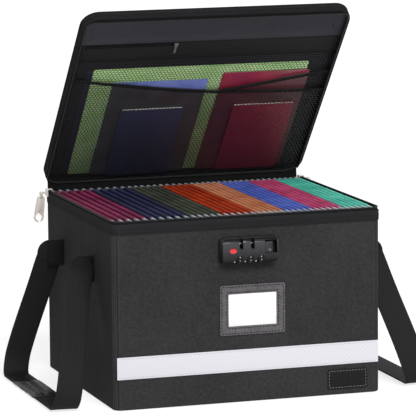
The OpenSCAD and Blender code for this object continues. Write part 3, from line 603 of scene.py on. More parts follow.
def moulded(name, dark, light, roughness, coat=0.0, specular=0.5, painted_top_light=None):
    """Moulded plastic or enamel; painted_top_light is a low and a high level between which its
    colour is painted lighter, a painted highlight.
    """
    material, tree, shader, where = start_material(
        name, Roughness=roughness, IOR=1.5, Coat_Weight=coat, Coat_Roughness=0.08,
        Specular_IOR_Level=specular)
    spark = add(tree, "TexNoise", {"Vector": where, "Scale": 1 / 0.0006, "Detail": 2.0})
    broad = add(tree, "TexNoise", {"Vector": where, "Scale": 45.0, "Detail": 3.0})
    tone = broad
    # Painted highlight: the colour grows lighter with height between the two levels.
    if painted_top_light:
        level = add(tree, "SeparateXYZ", {"Vector": where}, "Z")
        rise = add(tree, "MapRange", {"Value": level, "From Min": painted_top_light[0], "From Max": painted_top_light[1]})
        tone = add(tree, "Math", {0: broad, 1: 0.15, 2: rise}, operation="MULTIPLY_ADD",
                   use_clamp=True)
    vary_roughness(tree, shader, broad, roughness * 0.85, roughness * 1.2)
    colour_and_relief(tree, shader, tone, dark, light, spark, depth=0.00002)
    return material


def metal(name, dark, light, roughness, brush_axis="Z", metallic=1.0):
    """Plated, drawn or brushed metal, with its lines along brush_axis."""
    material, tree, shader, where = start_material(name, Roughness=roughness, Metallic=metallic)
    stretch = tuple(0.03 if axis == brush_axis else 1.0 for axis in "XYZ")
    along = add(tree, "Mapping", {"Vector": where, "Scale": stretch})
    lines = add(tree, "TexNoise", {"Vector": along, "Scale": 1 / 0.0005, "Detail": 3.0})
    broad = add(tree, "TexNoise", {"Vector": where, "Scale": 60.0})
    vary_roughness(tree, shader, lines, roughness * 0.7, roughness * 1.3)
    colour_and_relief(tree, shader, broad, dark, light, lines, depth=0.00002)
    return material


# %% [markdown]
# Reflective tape is cloth with tiny glass beads under clear plastic. In daylight it is a
# pale lavender grey, and a fine diamond net shows where the plastic is welded down. The
# floor is a light table, so it glows a little and shows next to no shadow.

# %% Reflective tape and the studio floor
def reflective(name, dark, light, cell=0.0045):
    """Reflective tape; cell is the pitch of the welded diamonds."""
    material, tree, shader, where = start_material(
        name, Roughness=0.38, Coat_Weight=0.4, Coat_Roughness=0.2)
    tilted = add(tree, "Mapping", {"Vector": where, "Rotation": (0, math.pi / 4, 0)})
    bars = [add(tree, "TexWave", {"Vector": tilted, "Scale": BAND_UNIT / cell}, "Fac",
                bands_direction=axis) for axis in "XZ"]
    net = add(tree, "Math", {0: bars[0], 1: bars[1]}, operation="MAXIMUM")
    weld = add(tree, "MapRange", {"Value": net, "From Min": 0.9, "From Max": 1.0,
                                  "To Min": 1.0, "To Max": 0.65})
    beads = add(tree, "TexNoise", {"Vector": where, "Scale": 1500.0, "Detail": 2.0})
    tone = add(tree, "Math", {0: beads, 1: 0.5, 2: weld}, operation="MULTIPLY_ADD")
    factor = add(tree, "MapRange", {"Value": tone, "From Min": 0.2, "From Max": 1.3})
    colour_and_relief(tree, shader, factor, dark, light, tone, depth=0.00005)
    return material


def light_table():
    """White acrylic that is lit from below."""
    material, tree, shader, where = start_material(
        "light_table", Roughness=0.9, Specular_IOR_Level=0.0,
        Emission_Color=(1.0, 1.0, 1.0, 1.0), Emission_Strength=0.78)
    soft = add(tree, "TexNoise", {"Vector": where, "Scale": 3.0})
    colour_and_relief(tree, shader, soft, "#8a8a8a", "#8e8e8e")
    return material


floor.data.materials.append(light_table())

# %% [markdown]
# The cloth is polyester. Canvas spun from two greys looks dull and flecked. Twill binding and
# lining have finer, tighter yarn, so they look plainer, and the padded header cloth is the
# palest. Tapes and elastic are black and show their ribs only where light grazes them, and
# sewing thread has a faint twist.

# %% The cloths of this box
canvas = woven("melange_canvas", "#252425", "#414041", fleck=0.4)
# The lid's canvas and binding are darker copies of the box's: painted shade on the open lid.
lid_canvas_painted_shade = woven("lid_canvas_painted_shade", "#1b1a1c", "#333235", lean=LID_OPEN)
TWILL = dict(pitch=0.0011, fleck=0.35, depth=0.00012)
twill = woven("binding_twill", "#19191a", "#2f2f31", **TWILL)
lid_twill_painted_shade = woven("lid_binding_twill_painted_shade", "#151516", "#29292b", lean=LID_OPEN, **TWILL)
# The hinge twill is a darker copy of the binding twill: a painted shadow of the lid.
hinge_twill_painted_shadow = woven("hinge_twill_painted_shadow", "#0d0d0e", "#1c1c1d", **TWILL)
LINING = dict(pitch=0.0012, depth=0.0001, fleck=0.3)
lining_cloth = woven("lining_cloth", "#222225", "#333337", lean=LID_OPEN, **LINING)
wall_lining = woven("wall_lining", "#1f1f21", "#303032", **LINING)
header_cloth = woven("header_cloth", "#36353a", "#46454b", pitch=0.0010, depth=0.00008,
                     fleck=0.4, lean=LID_OPEN, roughness=0.8)
hem_cloth = ribbed("hem_cloth", "#1d1d1e", "#2e2e2e", 0.0024, "Y", lean=LID_OPEN, depth=0.0002)
zip_tape_cloth = ribbed("zip_tape_cloth", "#101011", "#262627", 0.0012, "Z")
lid_zip_cloth = ribbed("lid_zip_cloth", "#0c0c0d", "#1c1c1d", 0.0012, "Y", lean=LID_OPEN)
elastic = ribbed("ribbed_elastic", "#0e0e0f", "#262628", 0.0014, "X", lean=LID_OPEN)
THREAD = dict(pitch=0.0008, axis="X", depth=0.0001)
grey_thread = ribbed("grey_thread", "#5c5a5e", "#7d7a80", **THREAD)
silver_thread = ribbed("silver_thread", "#a3a2a9", "#b9b8bf", **THREAD)
dark_thread = ribbed("dark_thread", "#0c0c0d", "#191919", **THREAD)
reflective_tape = reflective("reflective_tape", "#adadb5", "#c8c7cd")

# %% [markdown]
# The grip's vinyl has a coarse grain and a slight shine, the label holder's is finer and
# paler, and the patch's nearly absorbs the light. Booklet covers are fine-grained and dyed.
# Cards are printed board: the red one is laminated and glossy, page paper is soft and warm.

# %% Leathers and papers
grip_vinyl = grained("grip_vinyl", "#1b1b1d", "#333437", grain=0.0022, roughness=0.42, coat=0.12)
label_leather = grained("label_leather", "#3a383b", "#5d5a5e")
patch_leather = grained("patch_leather", "#101011", "#1b1b1c", roughness=0.55, specular=0.12)
navy_leatherette = grained("navy_leatherette", "#2b2e47", "#42466a", grain=0.0012, lean=LID_OPEN)
wine_leatherette = grained("wine_leatherette", "#700f28", "#972440", grain=0.0012, lean=LID_OPEN)
grey_board = board("grey_board", "#7d6f59", "#96876e")
label_paper = board("label_paper", "#dddcda", "#efeeed", roughness=0.5)
page_paper = board("page_paper", "#c9c6ba", "#e4e1d6")
green_card = board("green_card", "#b0dc90", "#d0f2b4", roughness=0.4, lean=LID_OPEN)
blue_card = board("blue_card", "#5a69ad", "#7686c4", roughness=0.5, lean=LID_OPEN)
red_card = board("red_card", "#7a1a32", "#983048", roughness=0.35, lean=LID_OPEN, gloss=0.6)
navy_backing = board("navy_backing", "#23223a", "#302f4c", roughness=0.5, lean=LID_OPEN)
charcoal_card = board("charcoal_card", "#37373b", "#49494f", roughness=0.5, lean=LID_OPEN)
brown_card = board("brown_card", "#4a1f24", "#5f282e", roughness=0.45, lean=LID_OPEN)

# %% [markdown]
# The lock is moulded in ABS. Its housing is polished, and its colour is painted darker at its
# foot and lighter towards its top, a painted reflection of the light above; its dials are
# matt. Zip teeth and nets are drawn nylon with a dull gleam. The sliders and pulls are zinc,
# plated to a soft satin grey, and the small tab is enamelled. Pins are bright steel, rails are
# brushed aluminium, and the folders' rods are enamelled a bluish white.

# %% Plastics and metals
lock_low, lock_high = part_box("lock_housing")
TOP_LIGHT_IN = 0.004
# Painted reflection: the housing's colour grows lighter towards its top.
lock_abs = moulded("polished_abs", "#090909", "#3e3d40", 0.3, specular=0.2,
                   painted_top_light=(lock_low.z + TOP_LIGHT_IN, lock_high.z - TOP_LIGHT_IN))
dial_abs = moulded("matt_abs", "#0c0c0d", "#161618", 0.5, specular=0.15)
red_acrylic = moulded("red_acrylic", "#b3141a", "#d62a2a", 0.2, coat=0.5)
dial_paint = moulded("dial_paint", "#a3a3a4", "#bcbcbc", 0.5)
zip_nylon = moulded("zip_nylon", "#161617", "#232324", 0.42)
net_nylon = moulded("net_nylon", "#131314", "#202022", 0.5)
plated_zinc = metal("plated_zinc", "#c9c2ba", "#e6e0d8", 0.42, metallic=0.4)
pull_enamel = moulded("pull_enamel", "#5c5d62", "#77787e", 0.4)
pin_steel = metal("pin_steel", "#b9bbc0", "#d6d8dc", 0.28, brush_axis="X")
rail_aluminium = metal("rail_aluminium", "#9aa0a6", "#b4b9be", 0.35, brush_axis="X")
rod_enamel = moulded("rod_enamel", "#d3dbe8", "#eef2f9", 0.35, coat=0.2)
print("materials:", len(bpy.data.materials))

# %% [markdown]
# ## The fabric wall
# On the real box one piece of canvas is sewn round stiff boards. The wall starts as a cube:
# its top is taken off, its upright edges get the large radius and its foot a small one. Cuts
# then give the cloth enough points to lie a little unevenly, and to dip into the crease that
# lets each side wall fold.

# %% Outer canvas
CANVAS_T = 0.001
FOOT_R = 0.0022
CREASE_DEPTH = 0.0011
CREASE_HALF = 0.005
CREASE_CUTS = (-CREASE_HALF, -0.0025, -0.0008, 0.0, 0.0008, 0.0025, CREASE_HALF)
RIPPLE = 0.00035
RIPPLES_PER_M = 16


def outward(along):
    """The outer side of a path that runs counter-clockwise round the box."""
    return Vector(along).cross(Vector((0, 0, 1)))


wall = cube("outer_canvas", (shell_low.x, shell_low.y, 0), (shell_high.x, shell_high.y, WALL_TOP))
bevel(wall, CORNER_R, 8, runs_along(2))
change(wall, "FACE", lambda face: face.normal.z > 0.9, bpy.ops.mesh.delete, type="FACE")
bevel(wall, FOOT_R, 3, lies_at(2, 0.0))
change(wall, "EDGE", lambda edge: runs_along(2)(edge) and edge.calc_length() > 0.1,
       bpy.ops.mesh.subdivide, number_cuts=30)
for axis, cuts in ((0, 46), (1, 40)):
    change(wall, "EDGE", lambda edge: runs_along(axis)(edge) and edge.calc_length() > 0.2
           and edge.verts[0].co.z > FOOT_R / 2, bpy.ops.mesh.subdivide, number_cuts=cuts)
for offset in CREASE_CUTS:
    change(wall, "FACE", everything, bpy.ops.mesh.bisect, plane_co=(0, offset, 0),
           plane_no=(0, 1, 0))
for vertex in wall.data.vertices:
    place = vertex.co.copy()
    if place.z < 2 * FOOT_R:
        continue
    side = abs(place.x) > BOX_W / 2 - 1e-5
    out = Vector((1 if place.x > 0 else -1, 0, 0)) if side else Vector((0, 0, 0))
    if abs(place.y) > BOX_D / 2 - 1e-5:
        out = Vector((0, 1 if place.y > 0 else -1, 0))
    vertex.co += out * RIPPLE * (noise.noise(place * RIPPLES_PER_M) - 0.35)
    if side and abs(place.y) < CREASE_HALF:
        depth = 0.5 + 0.5 * math.cos(math.pi * place.y / CREASE_HALF)
        vertex.co -= out * CREASE_DEPTH * depth
add_modifier(wall, "SOLIDIFY", thickness=CANVAS_T, offset=-1.0)
set_in_place(smooth(wall), canvas, "box", ["fabric_shell"])

# %% [markdown]
# The canvas is joined at its corners. Each seam is a thin roll of cloth that catches the
# light as a fine upright line, so it is a cord laid a little out of the round corner.

# %% Corner seams
SEAM_R = 0.0008
SEAM_ANGLE = math.radians(62)
SEAM_HEIGHTS = (0.003, 0.12, rim_low.z)
seams = []
for side in (-1, 1):
    for face in (-1, 1):
        x = side * (BOX_W / 2 - CORNER_R + CORNER_R * math.cos(SEAM_ANGLE))
        y = face * (BOX_D / 2 - CORNER_R + CORNER_R * math.sin(SEAM_ANGLE))
        seams.append(roll("corner_seam", [(x, y, z) for z in SEAM_HEIGHTS], SEAM_R))
set_in_place(join("corner_seams", *seams), twill, "box")

# %% [markdown]
# ## The rim
# The binding is a strip folded over the top edge of the wall. Its section is an upside-down
# U, and the same section runs all round, so the strip is lofted through outlines of the box,
# up the outside, over the top and down the inside.

# %% Folded binding and its stitches
BINDING_T = 0.0008
BINDING_EDGE = 0.003
BINDING_PUFF = 0.0002
RIM_ROUND = 0.0009
RIM_IN_W = 0.18385
RIM_IN_D = 0.15985
RIM_IN_R = 0.0015
RIM_IN_LOW = RIM_TOP - 0.010


def outline_at(half_w, half_d, radius, z):
    """A rectangle with round corners at one height; its last point is its first again."""
    ring = [(x, y, z) for x, y in round_corners(half_w, half_d, radius, 8)]
    return ring + ring[:1]


def lofted_ring(name, sections):
    """A closed skin through outlines that each have the same number of points."""
    return weld(ribbon(name, [outline_at(*section) for section in sections]))


out_w, out_d, out_r = rim_high.x, rim_high.y, CORNER_R + rim_high.x - BOX_W / 2
sections = [(out_w, out_d, out_r, rim_low.z),
            (out_w, out_d, out_r, rim_low.z + BINDING_EDGE),
            (out_w + BINDING_PUFF, out_d + BINDING_PUFF, out_r, rim_low.z + 2 * BINDING_EDGE),
            (out_w, out_d, out_r, RIM_TOP - BINDING_EDGE)]
for i in range(4):
    angle = math.pi / 2 * i / 3
    sink = RIM_ROUND * (1 - math.cos(angle))
    sections.append((out_w - sink, out_d - sink, out_r - sink,
                     RIM_TOP - RIM_ROUND * (1 - math.sin(angle))))
for i in range(4):
    angle = math.pi / 2 * i / 3
    sink = RIM_ROUND * (1 - math.sin(angle))
    sections.append((RIM_IN_W + sink, RIM_IN_D + sink, RIM_IN_R + sink,
                     RIM_TOP - RIM_ROUND * (1 - math.cos(angle))))
sections.append((RIM_IN_W, RIM_IN_D, RIM_IN_R, RIM_IN_LOW))
binding = lofted_ring("rim_binding_strip", sections)
add_modifier(binding, "SOLIDIFY", thickness=BINDING_T, offset=-1.0)
set_in_place(smooth(binding), twill, "box", ["rim_binding"])

STITCH_UP = 0.0022
STITCH_OUT = 0.0001
stitch_path = [(x, y, rim_low.z + STITCH_UP)
               for x, y in round_corners(out_w + STITCH_OUT, out_d + STITCH_OUT, out_r, 8)]
rim_stitches = stitch_row("rim_stitches", stitch_path, outward, closed=True)
set_in_place(rim_stitches, dark_thread, "box")

# %% [markdown]
# ## The zip on the rim
# A zip is a tape with a row of nylon teeth along its edge. One tooth is a small softened
# block. It is copied every 2.4 mm along the sides and the front, where the lid closes.

# %% Zip tape and teeth on the box
tape_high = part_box("box_zip_tape")[1]
TOOTH_PITCH = 0.0024
TOOTH = Vector((0.0014, 0.0022, 0.0015))
TAPE_IN = BOX_W / 2 - tape_high.x + 0.001
TAPE_T = 0.001
ZIP_END_Y = tape_high.y
ZIP_LEAD = 0.004
HEAD_Z = tape_high.z - TOOTH.z


def zip_path(z):
    """The zip's path: down one side, along the front and back up the other side."""
    half_w, half_d = BOX_W / 2 - TAPE_IN, BOX_D / 2 - TAPE_IN
    ring = round_corners(half_w, half_d, CORNER_R - TAPE_IN, 8)
    quarter = len(ring) // 4
    sides = [p for p in ring[quarter:] if p[1] < ZIP_END_Y - ZIP_LEAD]
    start, end = (-half_w, ZIP_END_Y, z), (half_w, ZIP_END_Y, z)
    return [start] + [(x, y, z) for x, y in sides] + [end]


TAPE_LEVELS = (RIM_TOP - 0.001, HEAD_Z - 0.0012, HEAD_Z + 0.0003)
tape = ribbon("zip_tape_strip", [zip_path(z) for z in TAPE_LEVELS])
add_modifier(tape, "SOLIDIFY", thickness=TAPE_T, offset=0.0)
set_in_place(tape, zip_tape_cloth, "box", ["box_zip_tape"])


def zip_teeth(name, path, size=TOOTH, pitch=TOOTH_PITCH, soft=0.0004):
    """A row of teeth along a path; soft is what is taken off a tooth's edges."""
    tooth = cube("tooth", -size / 2, size / 2)
    if soft:
        bevel(tooth, soft, 1, everything)
    return copies(name, tooth, [
        facing(place, along, (0, 0, 1)) for place, along in walk(path, pitch)])


set_in_place(zip_teeth("zip_teeth", zip_path(HEAD_Z + TOOTH.z / 2)), zip_nylon, "box")

# %% [markdown]
# ## Trim on the front
# The reflective stripe, the label holder and the patch are cut from sheet and sewn down. A
# cut sheet has a slightly rounded edge, and the stitches sit in a row just inside it.

# %% Reflective stripe
stripe_low, stripe_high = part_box("reflective_stripe")
stripe = block("reflective_stripe_strip", stripe_low, stripe_high, 0.0008, axis=1, soft=0.0002,
               corner_steps=3)
set_in_place(stripe, reflective_tape, "box", ["reflective_stripe"])
ROW_IN = 0.0022
ROW_SHORT = 0.002
stripe_rows = rows_along_x(
    "stripe_stitches", stripe_low.x + ROW_SHORT, stripe_high.x - ROW_SHORT,
    [(stripe_low.y, z) for z in (stripe_low.z + ROW_IN, stripe_high.z - ROW_IN)],
    out=(0, -1, 0), pitch=0.004)
set_in_place(stripe_rows, silver_thread, "box")

# %% [markdown]
# The label holder is one piece of synthetic leather with a window cut in it, so it is a block
# with a smaller block taken out. Stitches run round it twice, inside its outer edge and
# outside its window, and a blank card lies in the window. The patch is made the same way, as
# a plain block, and sewn once.

# %% Label holder, its card and its stitches
frame_low, frame_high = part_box("label_frame")
card_low, card_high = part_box("label_card")
CARD_GAP = 0.0001
LABEL_BORDER = card_low.x - frame_low.x - CARD_GAP
label_mid = (frame_low + frame_high) / 2
around_card = Vector((CARD_GAP, 0.002, CARD_GAP))
window_low = Vector((card_low.x, frame_low.y, card_low.z)) - around_card
window_high = Vector((card_high.x, frame_high.y, card_high.z)) + around_card
holder = block("label_holder", frame_low, frame_high, 0.0025, axis=1, soft=0)
opening = block("opening", window_low, window_high, 0.001, axis=1, soft=0, corner_steps=3)
add_modifier(holder, "BOOLEAN", object=opening, operation="DIFFERENCE", solver="EXACT")
bpy.data.objects.remove(opening)
add_modifier(holder, "BEVEL", width=0.00045, segments=2, limit_method="ANGLE",
             angle_limit=math.radians(60))
set_in_place(smooth(holder), label_leather, "box", ["label_frame"])


def sewn_border(name, middle, half_w, half_h, depth_y, width=0.0013):
    """A closed row of stitches on the front face, as a rectangle with round corners."""
    path = [(middle.x + x, depth_y, middle.z + z)
            for x, z in round_corners(half_w, half_h, 0.0015, 4)]
    return stitch_row(name, path, (0, -1, 0), pitch=0.0044, length=0.0029, width=width,
                      closed=True)


half_w, half_h = (frame_high.x - frame_low.x) / 2, (frame_high.z - frame_low.z) / 2
EDGE_GAP = 0.0024
outer_row = sewn_border("outer_row", label_mid, half_w - EDGE_GAP, half_h - EDGE_GAP, frame_low.y)
inner_row = sewn_border("inner_row", label_mid, half_w - LABEL_BORDER + EDGE_GAP,
                        half_h - LABEL_BORDER + EDGE_GAP, frame_low.y)
set_in_place(join("label_stitches", outer_row, inner_row), dark_thread, "box")

card = block("blank_label_card", card_low, card_high, 0.0008, axis=1, soft=0.0001)
set_in_place(card, label_paper, "box", ["label_card"])

# %% Plain patch
patch_low, patch_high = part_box("corner_patch")
PATCH_IN = 0.0022
patch = block("plain_patch", patch_low, patch_high, PATCH_IN, axis=1)
set_in_place(patch, patch_leather, "box", ["corner_patch"])
patch_mid = (patch_low + patch_high) / 2
patch_row = sewn_border("patch_stitches", patch_mid,
                        (patch_high.x - patch_low.x) / 2 - PATCH_IN,
                        (patch_high.z - patch_low.z) / 2 - PATCH_IN, patch_low.y, width=0.001)
set_in_place(patch_row, grey_thread, "box")

# %% [markdown]
# ## Hanging folders
# A hanging folder is one sheet of board. Each of its two leaves is turned over at the top
# into a narrow loop, and a flat rod lies in the loop. One drawn section, extruded from front
# to back, gives both leaves, both loops and the fold at the foot. The loops' ends are cut at
# a slant so that the rods' hooks come out, which gives the pale zigzag along the rim. The
# outermost loops are pressed flat, which leaves the zip's sliders room to pass.

# %% Folders by colour
FOLD_TOP = 0.2535
FOLD_W = 0.0038
LEAF_END = 0.14855
LOOP_IN = 0.0003
LOOP_OUT = 0.0027
LOOP_R = (LOOP_OUT - LOOP_IN) / 2
SHEET_T = 0.0004
LOOP_DROP, NECK_DROP, LEAF_DROP = 0.006, 0.0085, 0.0135
LEAF_X = 0.0004
FOLDERS = {
    "burgundy": ("#5e1136", "#952a5c"), "navy": ("#1a1d36", "#2e335c"),
    "grey_green": ("#2e332a", "#4d5546"), "orange": ("#8f2405", "#c2400e"),
    "tan": ("#ad6543", "#d18d68"), "blue": ("#4256ad", "#6277d0"),
    "rose": ("#a8305f", "#d25a88"), "teal": ("#3bac97", "#5fd2bc"),
}


def folder_section():
    """Half of the section, from inside the loop, over it and down to the foot."""
    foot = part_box("files_teal")[0].z + SHEET_T / 2
    top = FOLD_TOP - SHEET_T / 2
    middle = (LOOP_IN + LOOP_OUT) / 2
    half = [(LOOP_IN, top - NECK_DROP)]
    for i in range(7):
        angle = math.pi * (1 - i / 6)
        half.append((middle + LOOP_R * math.cos(angle), top - LOOP_R + LOOP_R * math.sin(angle)))
    half += [(LOOP_OUT, top - LOOP_DROP), (LOOP_OUT * 0.85, top - NECK_DROP),
             (LEAF_X, top - LEAF_DROP), (LEAF_X, (top + foot) / 2), (LEAF_X, foot + 0.001),
             (LEAF_X / 2, foot)]
    return half


HALF_SECTION = folder_section()
SECTION = HALF_SECTION + [(-x, z) for x, z in reversed(HALF_SECTION)]
STATIONS = [-1, -0.985, -0.7, -0.35, 0, 0.35, 0.7, 0.985, 1]
FRONT_CUT, REAR_CUT = 0.018, 0.007
LOOP_H = 0.007
SIDE_LIMIT = 0.1836
SWAY = 0.0004


def folder(name, middle_x, seed):
    """One hanging folder; seed gives it its own slight unevenness."""
    rows = []
    for station in STATIONS:
        row = []
        end_cut = FRONT_CUT if station < 0 else REAR_CUT
        for x, z in SECTION:
            near_top = max(0.0, 1 - (FOLD_TOP - z) / LOOP_H)
            y = station * (LEAF_END - end_cut * near_top)
            sway = SWAY * noise.noise(Vector((seed * 3.1, y * 9, z * 14)))
            place = middle_x + x + sway * (1 - near_top * 0.6)
            row.append((max(-SIDE_LIMIT, min(SIDE_LIMIT, place)), y, z))
        rows.append(row)
    sheet = ribbon(name, rows)
    return add_modifier(sheet, "SOLIDIFY", thickness=SHEET_T, offset=0.0)


for colour, (dark, light) in FOLDERS.items():
    node_name = "files_" + colour
    low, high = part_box(node_name)
    pitch = (high.x - low.x - FOLD_W) / 4
    group = [folder("folder", low.x + FOLD_W / 2 + i * pitch, low.x * 40 + i) for i in range(5)]
    finish = board("board_" + colour, dark, light, roughness=0.55)
    set_in_place(join("folders_" + colour, *group), finish, "box", [node_name])
cover(nodes["file_rods"], rod_enamel)

# %% [markdown]
# ## The lock
# The lock's housing, button and plate are moulded, so their shapes are already right in the
# frame, but their edges are knife sharp. Each gets a welded copy with its flat faces whole
# again, and a small round on every hard edge, which is what makes moulded plastic glint.

# %% Moulded edges
HARD_EDGE = math.radians(35)


def welded_copy(name, node_name):
    """A copy of a frame piece with its loose triangles welded into whole faces."""
    piece = put_in_scene(name, nodes[node_name].data.copy())
    edit(piece, "FACE", everything)
    bpy.ops.mesh.remove_doubles(threshold=2e-6)
    bpy.ops.mesh.dissolve_limited(angle_limit=math.radians(0.5))
    close_edit()
    return piece


def round_edges(piece, radius):
    """Puts a small round on each hard edge."""
    add_modifier(piece, "BEVEL", width=radius, segments=2, limit_method="ANGLE",
                 angle_limit=HARD_EDGE, use_clamp_overlap=True)
    return smooth(piece)


def rounded_copy(name, node_name, material, body, radius):
    """A frame piece with rounded edges, in the piece's stead."""
    piece = round_edges(welded_copy(name, node_name), radius)
    return set_in_place(piece, material, body, [node_name])


# %% [markdown]
# The housing's front is crowned: its top and foot lie back a little from its middle, so it is
# cut into bands first, and their points are then moved back by the square of their distance
# from the middle. Where the front is sunk, round the button and the dials, its faces get the
# darker matt dial plastic, which paints shade into the recesses.

# %% Lock housing
FRONT_CROWN = 0.0011
CROWN_REACH = 0.004
body = welded_copy("lock_body", "lock_housing")
LOCK_MID_Z, LOCK_HALF_H = (lock_low.z + lock_high.z) / 2, (lock_high.z - lock_low.z) / 2
for share in (-0.75, -0.5, -0.25, 0.0, 0.25, 0.5, 0.75):
    change(body, "FACE", everything, bpy.ops.mesh.bisect,
           plane_co=(0, 0, LOCK_MID_Z + share * LOCK_HALF_H), plane_no=(0, 0, 1))


def crown_at(z):
    """How far the housing's front face lies back from its middle line at one level."""
    return FRONT_CROWN * ((z - LOCK_MID_Z) / LOCK_HALF_H) ** 2


for vertex in body.data.vertices:
    near_front = max(0.0, 1 - (vertex.co.y - lock_low.y) / CROWN_REACH)
    vertex.co.y += crown_at(vertex.co.z) * near_front
set_in_place(round_edges(body, 0.0006), lock_abs, "box", ["lock_housing"])
# Painted shade: the sunk faces take the darker matt plastic.
body.data.materials.append(dial_abs)
SUNK_BY = 0.0012
for face in body.data.polygons:
    x, y, z = face.center
    sunk_in_shade = y > lock_low.y + SUNK_BY and abs(face.normal.z) < 0.99
    if sunk_in_shade and lock_low.x + 0.003 < x < lock_high.x - 0.001 and z > lock_low.z + 0.0015:
        face.material_index = 1
print("matt faces:", sum(face.material_index for face in body.data.polygons))

# %% [markdown]
# The lock's other pieces need only their edges rounded. Of the frame's own pieces, the boards,
# rails, pins and linings keep their shape and only get a finish.

# %% Other moulded pieces, and finishes for the frame's own
for name, node_name, finish, body_name, radius, slot in (
        ("lock_plate", "lock_backplate", dial_abs, "box", 0.0004, "lock_plate_plastic"),
        ("lock_window", "lock_inlay", red_acrylic, "box", 0.0003, "red_plastic"),
        ("lock_button", "release_slider", lock_abs, "release", 0.0005, "lock_plastic")):
    rounded_copy(name, node_name, finish, body_name, radius)
for node_name, finish in (
        ("dial_axle", pin_steel), ("latch_bar", pin_steel), ("front_rail", rail_aluminium),
        ("rear_rail", rail_aluminium), ("front_board", grey_board), ("back_board", grey_board),
        ("left_boards", grey_board), ("right_boards", grey_board), ("lid_board", grey_board),
        ("inner_lining", wall_lining), ("base_insert", wall_lining),
        ("lid_lining", lining_cloth)):
    cover(nodes[node_name], finish)

# %% [markdown]
# Each dial carries the numbers 0 to 9 between its finger notches. A number starts as text,
# becomes a mesh, and is then wrapped round the dial: its height becomes an angle.

# %% Number dials
NUMBER_SIZE = 0.003
NUMBER_PROUD = 0.00006
FIRST_NUMBER = math.radians(-18)
NUMBER_STEP = math.radians(36)


def number_on_dial(digit, axle_place, radius, angle):
    """One number wrapped round a dial, at an angle from the dial's front."""
    text = primitive("number", bpy.ops.object.text_add)
    text.data.body = str(digit)
    text.data.size = NUMBER_SIZE
    text.data.align_x = "CENTER"
    text.data.align_y = "CENTER"
    bpy.ops.object.convert(target="MESH")
    number = bpy.context.object
    reach = radius + NUMBER_PROUD
    for vertex in number.data.vertices:
        across, turned_by = vertex.co.x, angle + vertex.co.y / radius
        vertex.co = (axle_place.x + across, axle_place.y - reach * math.cos(turned_by),
                     axle_place.z + reach * math.sin(turned_by))
    return number


dial_places = []
for side in ("left", "middle", "right"):
    node_name = "dial_" + side
    body = side + "_dial"
    rounded_copy("number_dial_" + side, node_name, dial_abs, body, 0.0002)
    axle_place = Vector(joints[side + "_dial_spin"]["pos_m"])
    dial_places.append(axle_place)
    low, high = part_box(node_name)
    radius = (high.z - low.z) / 2
    numbers = [number_on_dial(digit, axle_place, radius, FIRST_NUMBER - NUMBER_STEP * digit)
               for digit in range(10)]
    set_in_place(join("numbers_" + side, *numbers), dial_paint, body)

# %% [markdown]
# A dot beside each dial shows which number counts. It is a drop of white paint on the
# housing, so it is a flattened ball half sunk in the plastic.

# %% Painted index dots
DOT_R = 0.0008
DOT_DOWN = 0.0035
dots = []
dial_step = dial_places[1].x - dial_places[0].x
for place in dial_places:
    dot = primitive("dot", bpy.ops.mesh.primitive_uv_sphere_add, segments=12, ring_count=8,
                    radius=DOT_R)
    z = place.z - DOT_DOWN
    dot.data.transform(Matrix.Diagonal((1, 0.35, 1, 1)))
    dot.data.transform(Matrix.Translation((place.x - dial_step / 2, lock_low.y + crown_at(z), z)))
    dots.append(smooth(dot))
set_in_place(join("index_dots", *dots), dial_paint, "box")

# %% [markdown]
# ## Zip sliders and pulls
# A pull is cast in zinc and plated. Its edge is raised all round, and so is the rim of its
# eye, so it gets a thin bead along both.

# %% Sliders and pulls
BEAD_R = 0.0006
BEAD_IN = 0.0008
PULL_LEAN = math.radians(8)
TAB_DOWN = 0.005
TAB_HALF_T = 0.0008
NECK_R, NECK_W = 0.00609, -0.00489
END_R, END_W = 0.00725, -0.02975
EYE_R = 0.00445


def arc(middle, radius, start, stop, steps):
    """Points on an arc in the tab's own plane; angles in degrees."""
    angles = [math.radians(start + (stop - start) * i / steps) for i in range(steps + 1)]
    return [(radius * math.cos(a), middle + radius * math.sin(a)) for a in angles]


def pull_beads(side, sign):
    """Raised beads on both faces of a pull, along its edge and round its eye."""
    pin = Vector(joints[side + "_pull_swing"]["pos_m"])
    slant = math.degrees(math.asin((END_R - NECK_R) / (NECK_W - END_W)))
    edge = arc(NECK_W, NECK_R - BEAD_IN, slant, 180 - slant, 8)
    edge += arc(END_W, END_R - BEAD_IN, 180 - slant, 360 + slant, 16)
    eye = arc(END_W, EYE_R + BEAD_R, 0, 342, 19)
    beads = []
    for y in (pin.y - TAB_HALF_T, pin.y + TAB_HALF_T):
        for outline in (edge, eye):
            path = [(pin.x + sign * (u * math.cos(PULL_LEAN) - w * math.sin(PULL_LEAN)), y,
                     pin.z - TAB_DOWN + u * math.sin(PULL_LEAN) + w * math.cos(PULL_LEAN))
                    for u, w in outline]
            beads.append(roll("bead", path, BEAD_R, closed=True, sides=2))
    return join(side + "_pull_beads", *beads)


for side in ("left", "right"):
    rounded_copy(side + "_slider_body", side + "_zip_slider", plated_zinc, side + "_slider",
                 0.0004)
    rounded_copy(side + "_pull_tab", side + "_zip_pull", plated_zinc, side + "_pull",
                 0.0003)
    beads = pull_beads(side, -1 if side == "left" else 1)
    set_in_place(beads, plated_zinc, side + "_pull")

# %% [markdown]
# ## Straps
# Webbing is woven with ribs along its length. It is a flat ribbon, so it is laid directly
# along its path: down from the swing line, round a bend and along the floor. The ribbon keeps
# its own coordinates, length along and width across, and the rib pattern reads those, so it
# follows every bend.

# %% Webbing that follows the ribbon
RIB_PITCH = 0.0026
PICK_PITCH = 0.0017


